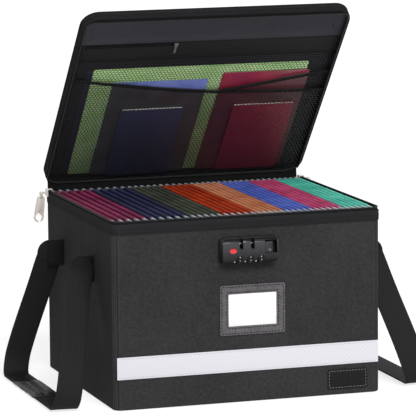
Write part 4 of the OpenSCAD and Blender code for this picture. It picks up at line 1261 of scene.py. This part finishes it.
def webbing_by_length(name, dark, light):
    """Polyester webbing: ribs along the strip and picks of yarn across it, a little shiny."""
    material, tree, shader, where = start_material(
        name, Roughness=0.6, Specular_IOR_Level=0.1, Sheen_Weight=0.01, Sheen_Roughness=0.35)
    strip = add(tree, "UVMap", uv_map="strip")
    ribs = add(tree, "TexWave", {"Vector": strip, "Scale": BAND_UNIT / RIB_PITCH,
                                 "Distortion": 0.1}, "Fac", bands_direction="Y")
    picks = add(tree, "TexWave", {"Vector": strip, "Scale": BAND_UNIT / PICK_PITCH,
                                  "Distortion": 0.3}, "Fac", bands_direction="X")
    weave = add(tree, "Math", {0: picks, 1: 0.35, 2: ribs}, operation="MULTIPLY_ADD")
    fuzz = add(tree, "TexNoise", {"Vector": where, "Scale": 700.0, "Detail": 3.0})
    height = add(tree, "Math", {0: fuzz, 1: 0.3, 2: weave}, operation="MULTIPLY_ADD")
    factor = add(tree, "MapRange", {"Value": height, "From Min": 0.2, "From Max": 1.5})
    colour_and_relief(tree, shader, factor, dark, light, height, depth=0.00025)
    return material


strap_webbing = webbing_by_length("black_webbing", "#111112", "#212122")
# The stubs' webbing is a darker copy of the strap's: painted shade where they enter the wall.
stub_webbing_painted_shade = webbing_by_length("webbing_with_painted_shade", "#0b0b0c", "#171718")


def lay_strip(name, rows, thickness):
    """A ribbon of cloth through rows of points, with its own length and width coordinates."""
    piece = ribbon(name, rows)
    lengths = [0.0]
    for before, after in zip(rows, rows[1:]):
        middle = len(before) // 2
        lengths.append(lengths[-1] + (Vector(after[middle]) - Vector(before[middle])).length)
    widths = [(Vector(p) - Vector(rows[len(rows) // 2][0])).length for p in rows[len(rows) // 2]]
    layer = piece.data.uv_layers.new(name="strip")
    for corner in piece.data.loops:
        row, column = divmod(corner.vertex_index, len(rows[0]))
        layer.data[corner.index].uv = (lengths[row], widths[column])
    add_modifier(piece, "SOLIDIFY", thickness=thickness, offset=0.0)
    add_modifier(piece, "BEVEL", width=thickness * 0.3, segments=2, limit_method="ANGLE",
                 angle_limit=math.radians(60))
    return smooth(piece)


# %% [markdown]
# A strap is worked out as a middle line, from its sewn end down to the floor and on to the
# middle of its grip. The hanging part leans out from the wall, so its width is tilted by the
# same angle, and the rest lies flat. The other half has its own bend and is read backwards.

# %% Path of a strap
STRAP_W = 0.036
STRAP_T = 0.002
STRAP_LEAN = math.radians(14)
STRAP_FOOT = 0.0033
ANCHOR_Y = 0.0758
BEND_Y = {1: 0.120, -1: 0.150}
BEND_R = {1: 0.030, -1: 0.018}
BEND_IN = 0.002
ROUND_END = math.radians(80)
GRIP_LEN = 0.110
WIDTH_POINTS = 7
swing = Vector(joints["right_strap_swing"]["pos_m"])
FOOT_X = swing.x + (swing.z - STRAP_FOOT) * math.tan(STRAP_LEAN)


def leaned(z):
    """The strap's x at one height, where it leans out from the wall."""
    return swing.x + (swing.z - z) * math.tan(STRAP_LEAN)


def half_strap(end):
    """Half of the path: each entry is a point, the tilt of the width and the half width."""
    path = []
    reach, bend = BEND_Y[end] - BEND_IN, BEND_R[end]
    for i in range(8, 0, -1):
        angle = ROUND_END * i / 8
        path.append(((swing.x, end * ANCHOR_Y, swing.z + STRAP_W / 2 * math.sin(angle)),
                     0.0, STRAP_W / 2 * math.cos(angle)))
    for i in range(17):
        t = i / 16
        z = swing.z + (STRAP_FOOT + bend - swing.z) * t
        ease = t * t * (3 - 2 * t)
        y = ANCHOR_Y + (reach - ANCHOR_Y) * (ease + t) / 2
        path.append(((leaned(z), end * y, z), STRAP_LEAN * min(1.0, t * 8), STRAP_W / 2))
    for i in range(1, 11):
        angle = math.pi / 2 * i / 10
        z = STRAP_FOOT + bend * (1 - math.sin(angle))
        y = reach - bend * (1 - math.cos(angle)) * 0.6
        path.append(((leaned(z), end * y, z), STRAP_LEAN * (1 - i / 10), STRAP_W / 2))
    for y in (0.09, 0.07, GRIP_LEN / 2, 0.03, 0.01):
        path.append(((FOOT_X, end * y, STRAP_FOOT), 0.0, STRAP_W / 2))
    return path


def strap_rows(side):
    """Rows across the webbing, from its rear end to its front one; side is -1 on the left."""
    rows = []
    for (x, y, z), tilt, half_width in half_strap(1) + half_strap(-1)[::-1]:
        row = []
        for k in range(WIDTH_POINTS):
            share = 2 * k / (WIDTH_POINTS - 1) - 1
            across = share * half_width
            row.append((side * (x + across * math.cos(tilt)), y, z + across * math.sin(tilt)))
        rows.append(row)
    return rows


for side, sign in (("left", -1), ("right", 1)):
    strap = lay_strip(side + "_webbing", strap_rows(sign), STRAP_T * 0.9)
    set_in_place(strap, strap_webbing, side + "_handle", [side + "_strap"])

# %% [markdown]
# Each end of a strap hangs from a folded stub that comes through the wall, and is sewn to it
# with a box of stitches and a cross inside.

# %% Sewn ends: stubs at the wall, boxed stitches on the webbing
STITCH_BOX = 0.011
STUB_X = (0.188, 0.191, 0.196, 0.202, 0.207, 0.2112, 0.2117)
for side, sign in (("left", -1), ("right", 1)):
    low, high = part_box(side + "_strap_anchors")
    stubs = []
    for end in (-1, 1):
        y = end * (high.y - STRAP_T / 2)
        rows = [[(sign * x, y, low.z + (high.z - low.z) * k / 6) for k in range(7)]
                for x in STUB_X]
        stubs.append(lay_strip("stub", rows, STRAP_T * 0.9))
    set_in_place(join(side + "_stubs", *stubs), stub_webbing_painted_shade, "box",
                 [side + "_strap_anchors"])
    tacks = []
    for end in (-1, 1):
        y = end * (ANCHOR_Y + STRAP_T * 0.45)
        x0, x1 = sign * (swing.x - STITCH_BOX), sign * (swing.x + STITCH_BOX)
        z0, z1 = swing.z - STITCH_BOX, swing.z + STITCH_BOX
        loop = [(x0, y, z0), (x1, y, z0), (x1, y, z1), (x0, y, z1), (x0, y, z0)]
        cross = [(x0, y, z0), (x1, y, z1)], [(x1, y, z0), (x0, y, z1)]
        for path in (loop, *cross):
            tacks.append(stitch_row("tack", path, (0, end, 0), pitch=0.0032, length=0.0026))
    set_in_place(join(side + "_tacks", *tacks), dark_thread, side + "_handle")

# %% [markdown]
# The padded grip is a sleeve filled with foam. Its closed shape is filled with air in a short
# cloth simulation, so that its sides crown between the seams. No point may move further
# than a cap, and none may go under the floor that it lies on. Seams come after that.

# %% Padded grip
GRIP_VOXEL = 0.0022
GRIP_PRESSURE = 4.0
GRIP_CAP = 0.0016
GRIP_R = 0.0024
ROOM_LOW, ROOM_HIGH = Vector((0.0012, 0.001, 0.0012)), Vector((0.0012, 0.001, 0.0008))
SEAM_PULL = 0.0022
SEAM_HALF = 0.0024
END_SEAM_IN, END_SEAM_HALF = 0.006, 0.0015
FLOOR_GAP = 0.0002


def puff(piece, voxel, pressure, cap):
    """Fills a closed shape with air, as stuffing does; no point moves further than cap."""
    add_modifier(piece, "REMESH", mode="VOXEL", voxel_size=voxel)
    start = [vertex.co.copy() for vertex in piece.data.vertices]
    cloth = piece.modifiers.new("cloth", "CLOTH")
    cloth.settings.use_pressure = True
    cloth.settings.uniform_pressure_force = pressure
    cloth.settings.effector_weights.gravity = 0.0
    for moment in range(1, 21):
        bpy.context.scene.frame_set(moment)
    evaluated = piece.evaluated_get(bpy.context.evaluated_depsgraph_get())
    moved = [vertex.co.copy() for vertex in evaluated.data.vertices]
    piece.modifiers.remove(cloth)
    bpy.context.scene.frame_set(1)
    for vertex, before, after in zip(piece.data.vertices, start, moved):
        step = after - before
        vertex.co = before + step * min(1.0, cap / max(step.length, 1e-9))
    return piece


grip_low, grip_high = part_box("left_grip")
grip = block("padded_grip", grip_low + ROOM_LOW, grip_high - ROOM_HIGH, GRIP_R, axis=1,
             soft=0.001)
puff(grip, GRIP_VOXEL, GRIP_PRESSURE, GRIP_CAP)
grip_mid = (grip_low + grip_high) / 2
for vertex in grip.data.vertices:
    place = vertex.co
    height = (place.z - grip_mid.z) / (grip_high.z - grip_mid.z)
    if height > 0.3:
        seam = math.exp(-((place.x - grip_mid.x) / SEAM_HALF) ** 2)
        from_end = abs(place.y) - grip_high.y + END_SEAM_IN
        ends = math.exp(-(from_end / END_SEAM_HALF) ** 2)
        place.z -= SEAM_PULL * max(seam, ends) * height
    place.z = max(place.z, FLOOR_GAP)
add_modifier(grip, "SUBSURF", levels=1, render_levels=1)
set_in_place(smooth(grip), grip_vinyl, "left_handle", ["left_grip"])
GRIP_ROW_IN, GRIP_ROW_SHORT, GRIP_ROW_SUNK = 0.0045, 0.005, 0.0006
row_z = grip_high.z - GRIP_ROW_SUNK
grip_rows = rows_along_x(
    "grip_stitches", grip_low.x + GRIP_ROW_SHORT, grip_high.x - GRIP_ROW_SHORT,
    [(y, row_z) for y in (grip_low.y + GRIP_ROW_IN, grip_high.y - GRIP_ROW_IN)],
    out=(0, 0, 1), pitch=0.0036)
set_in_place(grip_rows, dark_thread, "left_handle")

# %% [markdown]
# ## The lid
# The lid is a shallow tray of canvas over a board. Its pieces are modelled flat, where they
# are easy to measure, and one matrix then turns them up. The tray starts as a cube: its
# corners get their radius, its inner face comes off, the middle of its outer face is raised
# a little, as cloth over a board is, and the cloth gets its thickness.

# %% Measures of the lid
cover_low, cover_high = lid_box("lid_cover")
edge_low, edge_high = lid_box("lid_binding")
GUSSET_T = 0.0012
LID_CORNER_R = 0.024
LID_MID_V = (edge_low[1] + edge_high[1]) / 2
LID_HALF_W = edge_high[0]
LID_HALF_V = (edge_high[1] - edge_low[1]) / 2
LID_TOP = cover_high[2]
LID_FOOT = cover_low[2]
print("lid", 2 * LID_HALF_W, "by", 2 * LID_HALF_V, "height", LID_TOP - LID_FOOT)


# %% Drawing on the flat lid
def raise_lid(piece):
    """Turns a piece that was modelled flat up into the open lid."""
    piece.data.transform(LID_FRAME)
    return piece


def set_in_lid(piece, material, stands_for=()):
    """Turns a flat piece up into the open lid, and sets it in place there."""
    return set_in_place(raise_lid(piece), material, "lid", stands_for)


def from_drawing(low, high):
    """The two corners of a space on the flat lid, from corners given as x, v and h."""
    return (low[0], -high[1], low[2]), (high[0], -low[1], high[2])


def lid_cube(name, low, high):
    """A cube on the flat lid."""
    return cube(name, *from_drawing(low, high))


def lid_block(name, low, high, radius, soft=0.0003):
    """A block with round corners on the flat lid."""
    return block(name, *from_drawing(low, high), radius, soft=soft, corner_steps=5)


def lid_outline(inset, h):
    """The lid's outline, drawn in by inset, at one height."""
    return [(x, y - LID_MID_V, h) for x, y in round_corners(
        LID_HALF_W - inset, LID_HALF_V - inset, LID_CORNER_R - inset, 8)]


# %% Lid tray
TOP_EDGE_R = 0.0018
CROWN_INSETS = (0.010, 0.009)
CROWN_H = 0.0007
tray = lid_cube("lid_canvas_tray", cover_low, cover_high)
bevel(tray, LID_CORNER_R - 0.001, 8, runs_along(2))
change(tray, "FACE", lambda face: face.normal.z < -0.9, bpy.ops.mesh.delete, type="FACE")
bevel(tray, TOP_EDGE_R, 3, lies_at(2, LID_TOP))
edit(tray, "FACE", lambda face: face.normal.z > 0.99)
for inset in CROWN_INSETS:
    bpy.ops.mesh.inset(thickness=inset)
bpy.ops.transform.translate(value=(0, 0, CROWN_H))
close_edit()
add_modifier(tray, "SOLIDIFY", thickness=GUSSET_T, offset=-1.0)
set_in_lid(smooth(tray), lid_canvas_painted_shade, ["lid_cover"])

# %% [markdown]
# Two strips of binding run round the lid's edge, with a narrow ridge between them. Each is
# folded over a cord, so its section swells in the middle, and rows of stitches hold them
# down. These ridges are what the photograph shows along the lid's left edge.

# %% Rolled edges and their stitches
ROLL_SWELL = 0.0006
ROLL_IN = 0.0006
ROLL_T = 0.0009
SIDE_ROW_IN, TOP_ROW_IN = 0.0011, 0.009


def rolled_edge(name, low_h, high_h, steps=6):
    """A swollen strip round the lid between two heights."""
    rows = []
    for i in range(steps + 1):
        t = i / steps
        swell = ROLL_SWELL * math.sin(math.pi * t)
        ring = lid_outline(ROLL_IN - swell, low_h + (high_h - low_h) * t)
        rows.append(ring + ring[:1])
    piece = weld(ribbon(name, rows))
    add_modifier(piece, "SOLIDIFY", thickness=ROLL_T, offset=-1.0)
    return smooth(piece)


foot_h, top_h = edge_low[2], edge_high[2]
lower_roll = rolled_edge("lower_roll", foot_h, foot_h + 0.005)
upper_roll = rolled_edge("upper_roll", top_h - 0.003, top_h)
middle_roll = rolled_edge("middle_roll", foot_h + 0.0062, foot_h + 0.0082, steps=4)
set_in_lid(join("lid_rolled_edges", lower_roll, upper_roll, middle_roll), lid_twill_painted_shade,
           ["lid_binding"])
lid_rows = [stitch_row("lid_row", lid_outline(inset, h), out, closed=True, pitch=0.005)
            for inset, h, out in ((SIDE_ROW_IN, foot_h + 0.0056, outward),
                                  (SIDE_ROW_IN, top_h - 0.0037, outward),
                                  (TOP_ROW_IN, LID_TOP, (0, 0, 1)))]
set_in_lid(join("lid_stitches", *lid_rows), dark_thread)

# %% [markdown]
# The lid's half of the zip hangs from a flange inside the band. Its teeth are the same as the
# box's and follow the same line, so that the two rows come together when the lid closes.

# %% Lid zip
FLANGE_H = LID_FOOT + 0.0004
FLANGE_IN = 0.0023
TEETH_H = LID_FOOT - 0.0008


def u_path(half_w, half_d, radius, end_y, steps=8):
    """A path down the left side from end_y, along the front and up the right side again."""
    reach = max(0.0, min(radius, end_y - (half_d - radius)))
    lead = math.asin(reach / radius)
    side = [(half_w - radius + radius * math.cos(lead * (1 - i / 3)),
             half_d - radius + radius * math.sin(lead * (1 - i / 3))) for i in range(4)]
    corner = []
    for i in range(steps + 1):
        angle = math.pi / 2 * i / steps
        corner.append((half_w - radius + radius * math.cos(angle),
                       -half_d + radius - radius * math.sin(angle)))
    right = side + corner
    return [(-x, y) for x, y in right] + [(x, y) for x, y in reversed(right)]


teeth_plan = u_path(BOX_W / 2 - TAPE_IN, BOX_D / 2 - TAPE_IN, CORNER_R - TAPE_IN, ZIP_END_Y)
flange_plan = u_path(LID_HALF_W - FLANGE_IN, LID_HALF_V - FLANGE_IN, LID_CORNER_R - FLANGE_IN,
                     ZIP_END_Y - HINGE.y + LID_MID_V)
outer = [(x, y - LID_MID_V, FLANGE_H) for x, y in flange_plan]
inner = [(x, y - HINGE.y, FLANGE_H) for x, y in teeth_plan]
inner_drop = [(x, y - HINGE.y, TEETH_H) for x, y in teeth_plan]
flange = ribbon("lid_zip_tape_strip", [outer, inner, inner_drop])
add_modifier(flange, "SOLIDIFY", thickness=0.0007, offset=0.0)
set_in_lid(flange, lid_zip_cloth, ["lid_zip_tape"])
set_in_lid(zip_teeth("lid_zip_teeth", inner_drop), zip_nylon)

# %% [markdown]
# ## Header pocket
# The panel along the lid's free edge is smooth cloth over thin padding. The panel is a cube
# cut across its length, and its inner face rises in two small steps away from its seams.
# Below it a ribbed band closes the pocket, with a short zip in it.

# %% Header panel
HEM_V = 0.0045
PADDING = ((0.004, 0.0006), (0.012, 0.0005))
panel_low, panel_high = lid_box("header_panel")
zip_low, zip_high = lid_box("header_zip")
hem_top = (zip_low[1] + zip_high[1]) / 2 + HEM_V
panel = lid_cube("header_panel_cloth", (panel_low[0], hem_top, panel_low[2]), panel_high)
bevel(panel, LID_CORNER_R - 0.0025, 6,
      lambda edge: runs_along(2)(edge) and -edge.verts[0].co.y > panel_high[1] - 0.001)
change(panel, "EDGE", lambda edge: runs_along(0)(edge) and edge.calc_length() > 0.3,
       bpy.ops.mesh.subdivide, number_cuts=24)
edit(panel, "FACE", lambda face: face.normal.z < -0.99)
for inset, rise in PADDING:
    bpy.ops.mesh.inset(thickness=inset)
    bpy.ops.transform.translate(value=(0, 0, -rise))
close_edit()
set_in_lid(smooth(panel), header_cloth, ["header_panel"])
net_hem = lid_block("net_hem", panel_low, (panel_high[0], hem_top + 0.001, panel_high[2]), 0.0006)
set_in_lid(net_hem, hem_cloth)

# %% Header zip and stitches
LIP_R = 0.00045
SMALL_TOOTH = Vector((0.0010, 0.0016, 0.0008))
SMALL_PITCH = 0.0016
SLIDER_ROOM = 0.012
zip_mid_v = (zip_low[1] + zip_high[1]) / 2
zip_h = zip_low[2] + 0.00035
slit = lid_block("header_zip_tape", (zip_low[0], zip_low[1], zip_h + 0.0001),
                 (zip_high[0], zip_high[1], zip_high[2]), 0.0008, soft=0.0001)
lips = [roll("lip", [(zip_low[0], -v, zip_h), (zip_high[0], -v, zip_h)], LIP_R)
        for v in (zip_low[1], zip_high[1])]
set_in_lid(join("header_zip_strip", slit, *lips), lid_zip_cloth, ["header_zip"])
slit_path = [(zip_low[0] + 0.001, -zip_mid_v, zip_h),
             (zip_high[0] - SLIDER_ROOM, -zip_mid_v, zip_h)]
small_teeth = zip_teeth("header_zip_teeth", slit_path, SMALL_TOOTH, SMALL_PITCH, soft=0)
set_in_lid(small_teeth, zip_nylon)
rounded_copy("header_zip_tab", "header_zip_pull", pull_enamel, "header_pull", 0.0003)
PANEL_ROW_SHORT = 0.004
row_h = panel_low[2] - 0.0001
panel_rows = rows_along_x(
    "panel_stitches", panel_low[0] + PANEL_ROW_SHORT, panel_high[0] - PANEL_ROW_SHORT,
    [(-v, row_h) for v in (hem_top - 0.0012, panel_low[1] + 0.003)],
    out=(0, 0, -1), pitch=0.0046)
set_in_lid(panel_rows, dark_thread)

# %% [markdown]
# ## Nets
# The pockets are knitted net with six-sided gaps. The photograph shows a repeat of about
# 5 mm, so that is used here. The repeat is one knot with three short strands, and a
# copy of it sits at every second knot, so the strands of neighbours meet.

# %% Top lines of the pockets
POCKET_HALF = LID_HALF_W - 0.0026
ELASTIC_JOIN = 0.033
ELASTIC_LEFT = 0.219
ELASTIC_MID = 0.182
ELASTIC_RIGHT = 0.216
ELASTIC_LOW = 0.177
ELASTIC_W = 0.005
LEFT_SAG, LOW_SAG = 1.35, 2


def left_elastic(x):
    """The top line of the front pocket's long edge, which sags from the left."""
    t = (x + POCKET_HALF) / (ELASTIC_JOIN + POCKET_HALF)
    return ELASTIC_LEFT + (ELASTIC_MID - ELASTIC_LEFT) * (1 - (1 - t) ** LEFT_SAG)


def low_elastic(x):
    """The lower of the two edges on the right."""
    t = (x - ELASTIC_JOIN) / (POCKET_HALF - ELASTIC_JOIN)
    return ELASTIC_MID + (ELASTIC_LOW - ELASTIC_MID) * (1 - (1 - t) ** LOW_SAG)


def high_elastic(x):
    """The upper of the two edges on the right, which is straight."""
    t = (x - ELASTIC_JOIN) / (POCKET_HALF - ELASTIC_JOIN)
    return ELASTIC_MID + (ELASTIC_RIGHT - ELASTIC_MID) * t


def front_top(x):
    """The front pocket's top line."""
    return left_elastic(x) if x < ELASTIC_JOIN else low_elastic(x)


# %% Net pockets
NET_PITCH = 0.0050
STRAND_R = 0.00042
FLATTEN = 0.55


def inside_lid(x, v, margin=0.0035):
    """True inside the lid's outline, its round corners included."""
    half_w, half_v = LID_HALF_W - margin, LID_HALF_V - margin
    radius = LID_CORNER_R - margin
    dx, dv = abs(x) - (half_w - radius), abs(v - LID_MID_V) - (half_v - radius)
    if dx > 0 and dv > 0:
        return math.hypot(dx, dv) < radius
    return dx < radius and dv < radius


def knot():
    """Three strands that leave one knot; each has three sides and reaches the next knot."""
    length = NET_PITCH / math.sqrt(3)
    strands = []
    for i in range(3):
        strand = primitive("strand", bpy.ops.mesh.primitive_cylinder_add, vertices=3,
                           radius=STRAND_R, depth=length, end_fill_type="NOTHING")
        strand.data.transform(Matrix.Rotation(math.pi / 2, 4, "Y"))
        strand.data.transform(Matrix.Translation((length / 2, 0, 0)))
        strand.data.transform(Matrix.Diagonal((1, 1, FLATTEN, 1)))
        strand.data.transform(Matrix.Rotation(math.pi / 2 + math.tau * i / 3, 4, "Z"))
        strands.append(strand)
    return join("knot", *strands)


def net(name, level, top_of, bulge):
    """A net at one level of the lid, below the line top_of, with an even bulge."""
    places = []
    row_step = NET_PITCH * math.sqrt(3) / 2
    for j in range(int(edge_high[1] / row_step)):
        v = edge_low[1] + 0.004 + j * row_step
        for i in range(-60, 61):
            x = (i + (j % 2) / 2) * NET_PITCH
            if inside_lid(x, v) and v < top_of(x) - NET_PITCH * 0.4:
                swell = bulge * math.sin(math.pi * min(1, v / top_of(x))) * math.cos(
                    math.pi * x / (2 * POCKET_HALF))
                places.append(Matrix.Translation(on_lid(x, v, level - swell)))
    return copies(name, knot(), places)


large_low, large_high = lid_box("mesh_large")
front_low, front_high = lid_box("mesh_front")
large_level = (large_low[2] + large_high[2]) / 2
front_level = (front_low[2] + front_high[2]) / 2
MESH_TOP = large_high[1]
large_net = net("large_net", large_level, lambda x: MESH_TOP, bulge=0.0)
set_in_lid(large_net, net_nylon, ["mesh_large"])
front_net = net("front_net", front_level, front_top, bulge=0.0012)
set_in_lid(front_net, net_nylon, ["mesh_front"])

# %% [markdown]
# Each pocket's top edge is a folded elastic. It was stretched while it was sewn on, so it
# gathers: small waves, 6.5 mm long, run along it and grow towards its lower edge.

# %% Elastic edges and hem
GATHER = 0.0065
GATHER_H = 0.0004
EDGE_FOLD = 0.0007
ELASTIC_T = 0.0007


def elastic_strip(name, x0, x1, top_of, level, width=ELASTIC_W, steps=90):
    """A gathered strip between two places across the lid, under the line top_of."""
    rows = []
    for i in range(steps + 1):
        x = x0 + (x1 - x0) * i / steps
        top = top_of(x)
        row = []
        for k in range(5):
            share = k / 4
            fold = EDGE_FOLD * math.sin(math.pi * share)
            wave = GATHER_H * math.sin(math.tau * x / GATHER) * (0.4 + share)
            row.append((x, -(top - width * share), level - fold - wave))
        rows.append(row)
    piece = ribbon(name, rows)
    return add_modifier(piece, "SOLIDIFY", thickness=ELASTIC_T, offset=0.0)


long_edge = elastic_strip("long_edge", -POCKET_HALF, ELASTIC_JOIN, left_elastic, front_level)
low_edge = elastic_strip("low_edge", ELASTIC_JOIN, POCKET_HALF, low_elastic, front_level)
high_edge = elastic_strip("high_edge", ELASTIC_JOIN, POCKET_HALF, high_elastic, front_level)
hem = elastic_strip("hem", -POCKET_HALF, POCKET_HALF, lambda x: MESH_TOP + 0.0015,
                    large_level - 0.0006, width=0.0045, steps=120)
set_in_lid(join("elastic_edges", smooth(long_edge), low_edge, high_edge, hem), elastic,
           ["pocket_bindings"])

# %% [markdown]
# ## Papers in the pockets
# Each paper piece is built as the real one is made: a folder of two leaves, of which the
# front one is a little lower, cards with a bright leaf behind a dark one, and booklets with
# leatherette covers round a block of pages. Their fronts are bare.

# %% Green folder and its backing leaf
LEAF_SHARE = 0.45
PAPER_SOFT = 0.0001
BACKING_T = 0.0003
low, high = lid_box("green_folder")
half = (high[2] - low[2]) * LEAF_SHARE
back_leaf = lid_block("leaf", (low[0], low[1], high[2] - half), high, 0.003, PAPER_SOFT)
front_leaf = lid_block("leaf", low, (high[0] - 0.0004, high[1] - 0.003, low[2] + half), 0.003,
                       PAPER_SOFT)
set_in_lid(join("green_folder_leaves", back_leaf, front_leaf), green_card, ["green_folder"])
behind = high[2] + 0.00005
backing = lid_block("dark_backing_leaf", (low[0] - 0.009, low[1], behind),
                    (high[0] - 0.02, high[1] - 0.002, behind + BACKING_T), 0.002, PAPER_SOFT)
set_in_lid(backing, navy_backing)


# %% Card covers
def card_leaves(name, node_name, bright, dark, top_of):
    """A bright back leaf, and a dark front leaf whose top lies along an elastic edge."""
    low, high = lid_box(node_name)
    half = (high[2] - low[2]) * LEAF_SHARE
    back_leaf = lid_block(name, (low[0], low[1], high[2] - half), high, 0.0015, PAPER_SOFT)
    set_in_lid(back_leaf, bright, [node_name])
    front_leaf = lid_cube(name + "_front", low, (high[0], high[1], low[2] + half * 0.8))
    change(front_leaf, "EDGE", runs_along(0), bpy.ops.mesh.subdivide, number_cuts=16)
    for vertex in front_leaf.data.vertices:
        if -vertex.co.y > high[1] - 1e-5:
            vertex.co.y = -min(high[1] - 0.0005, top_of(vertex.co.x) - ELASTIC_W * 0.5)
    set_in_lid(smooth(front_leaf), dark)


card_leaves("blue_card_leaf", "blue_card", blue_card, charcoal_card, left_elastic)
card_leaves("red_card_leaf", "red_card", red_card, brown_card, high_elastic)

# %% Booklets
COVER_T = 0.0004
COVER_R = 0.003
PAGE_IN = 0.0012


def booklet(name, node_name, cover_material):
    """Two covers joined by a round spine, with a block of pages between them."""
    low, high = lid_box(node_name)
    covers = [lid_block("cover", low, (high[0], high[1], low[2] + COVER_T), COVER_R, PAPER_SOFT),
              lid_block("cover", (low[0], low[1], high[2] - COVER_T), high, COVER_R, PAPER_SOFT)]
    spine_r = (high[2] - low[2]) / 2
    spine_x, spine_h = low[0] + spine_r * 0.6, (low[2] + high[2]) / 2
    spine = roll("spine", [(spine_x, -low[1] - COVER_R, spine_h),
                           (spine_x, -high[1] + COVER_R, spine_h)], spine_r * 0.98, sides=4)
    set_in_lid(join(name + "_cover", *covers, spine), cover_material, [node_name])
    pages = lid_block(name + "_pages", (low[0] + 0.001, low[1] + PAGE_IN, low[2] + COVER_T),
                      (high[0] - PAGE_IN, high[1] - PAGE_IN / 3, high[2] - COVER_T), 0.002,
                      PAPER_SOFT)
    set_in_lid(pages, page_paper)


booklet("navy_booklet", "navy_booklet", navy_leatherette)
booklet("wine_booklet", "wine_booklet", wine_leatherette)

# %% [markdown]
# ## The fabric hinge
# The lid hangs on one strip of cloth. It is sewn to the back of the rim, bends at the hinge
# line and is sewn to the lid's edge, so it is one piece that runs from the box to the lid.

# %% Hinge cloth
hinge_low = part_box("hinge_tape_box")[0]
hinge_lid_low, hinge_lid_high = lid_box("hinge_tape_lid")
HINGE_T = 0.0007
back_y = hinge_low.y + HINGE_T / 2
section = [(back_y, hinge_low.z), (back_y, (hinge_low.z + RIM_TOP) / 2), (back_y, RIM_TOP - 0.001),
           (back_y + 0.0004, RIM_TOP + 0.001)]
for t in (0.3, 0.6, 0.85):
    start_y, start_z = section[3]
    section.append((start_y + (HINGE.y - start_y) * t, start_z + (HINGE.z - start_z) * t))
section.append((HINGE.y, HINGE.z))
for h in (0.0013, 0.003, 0.006, hinge_lid_high[2]):
    place = LID_FRAME @ on_lid(0, (hinge_lid_low[1] + hinge_lid_high[1]) / 2, h)
    section.append((place.y, place.z))
HINGE_REACH = LID_HALF_W - 0.006
COLUMNS = 72


def corner_drop(x, half, radius):
    """How far the edge of a rectangle with round corners has turned back at x."""
    over = abs(x) - (half - radius)
    return radius - math.sqrt(radius * radius - over * over) if over > 0 else 0.0


HINGE_RIPPLE = 0.00025
hinge_rows = []
lid_along = LID_FRAME.to_3x3() @ Vector((0, -1, 0))
for i in range(COLUMNS + 1):
    x = HINGE_REACH * (2 * i / COLUMNS - 1)
    ripple = HINGE_RIPPLE * noise.noise(Vector((x * 60, 0.3, 0.7)))
    on_box = corner_drop(x, BOX_W / 2, CORNER_R)
    on_lid_edge = corner_drop(x, LID_HALF_W, LID_CORNER_R)
    row = []
    for k, (y, z) in enumerate(section):
        up = min(1.0, max(0.0, (k - 3) / 4))
        lift = lid_along * on_lid_edge * up
        row.append((x, y + ripple - on_box * (1 - up) + lift.y, z + lift.z))
    hinge_rows.append(row)
hinge_cloth = ribbon("hinge_cloth", hinge_rows)
add_modifier(hinge_cloth, "SOLIDIFY", thickness=HINGE_T, offset=0.0)
smooth(hinge_cloth)
# Its darker twill is a painted shadow of the lid.
cover(hinge_cloth, hinge_twill_painted_shadow)
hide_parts("hinge_tape_box", "hinge_tape_lid")
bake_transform(hinge_cloth)
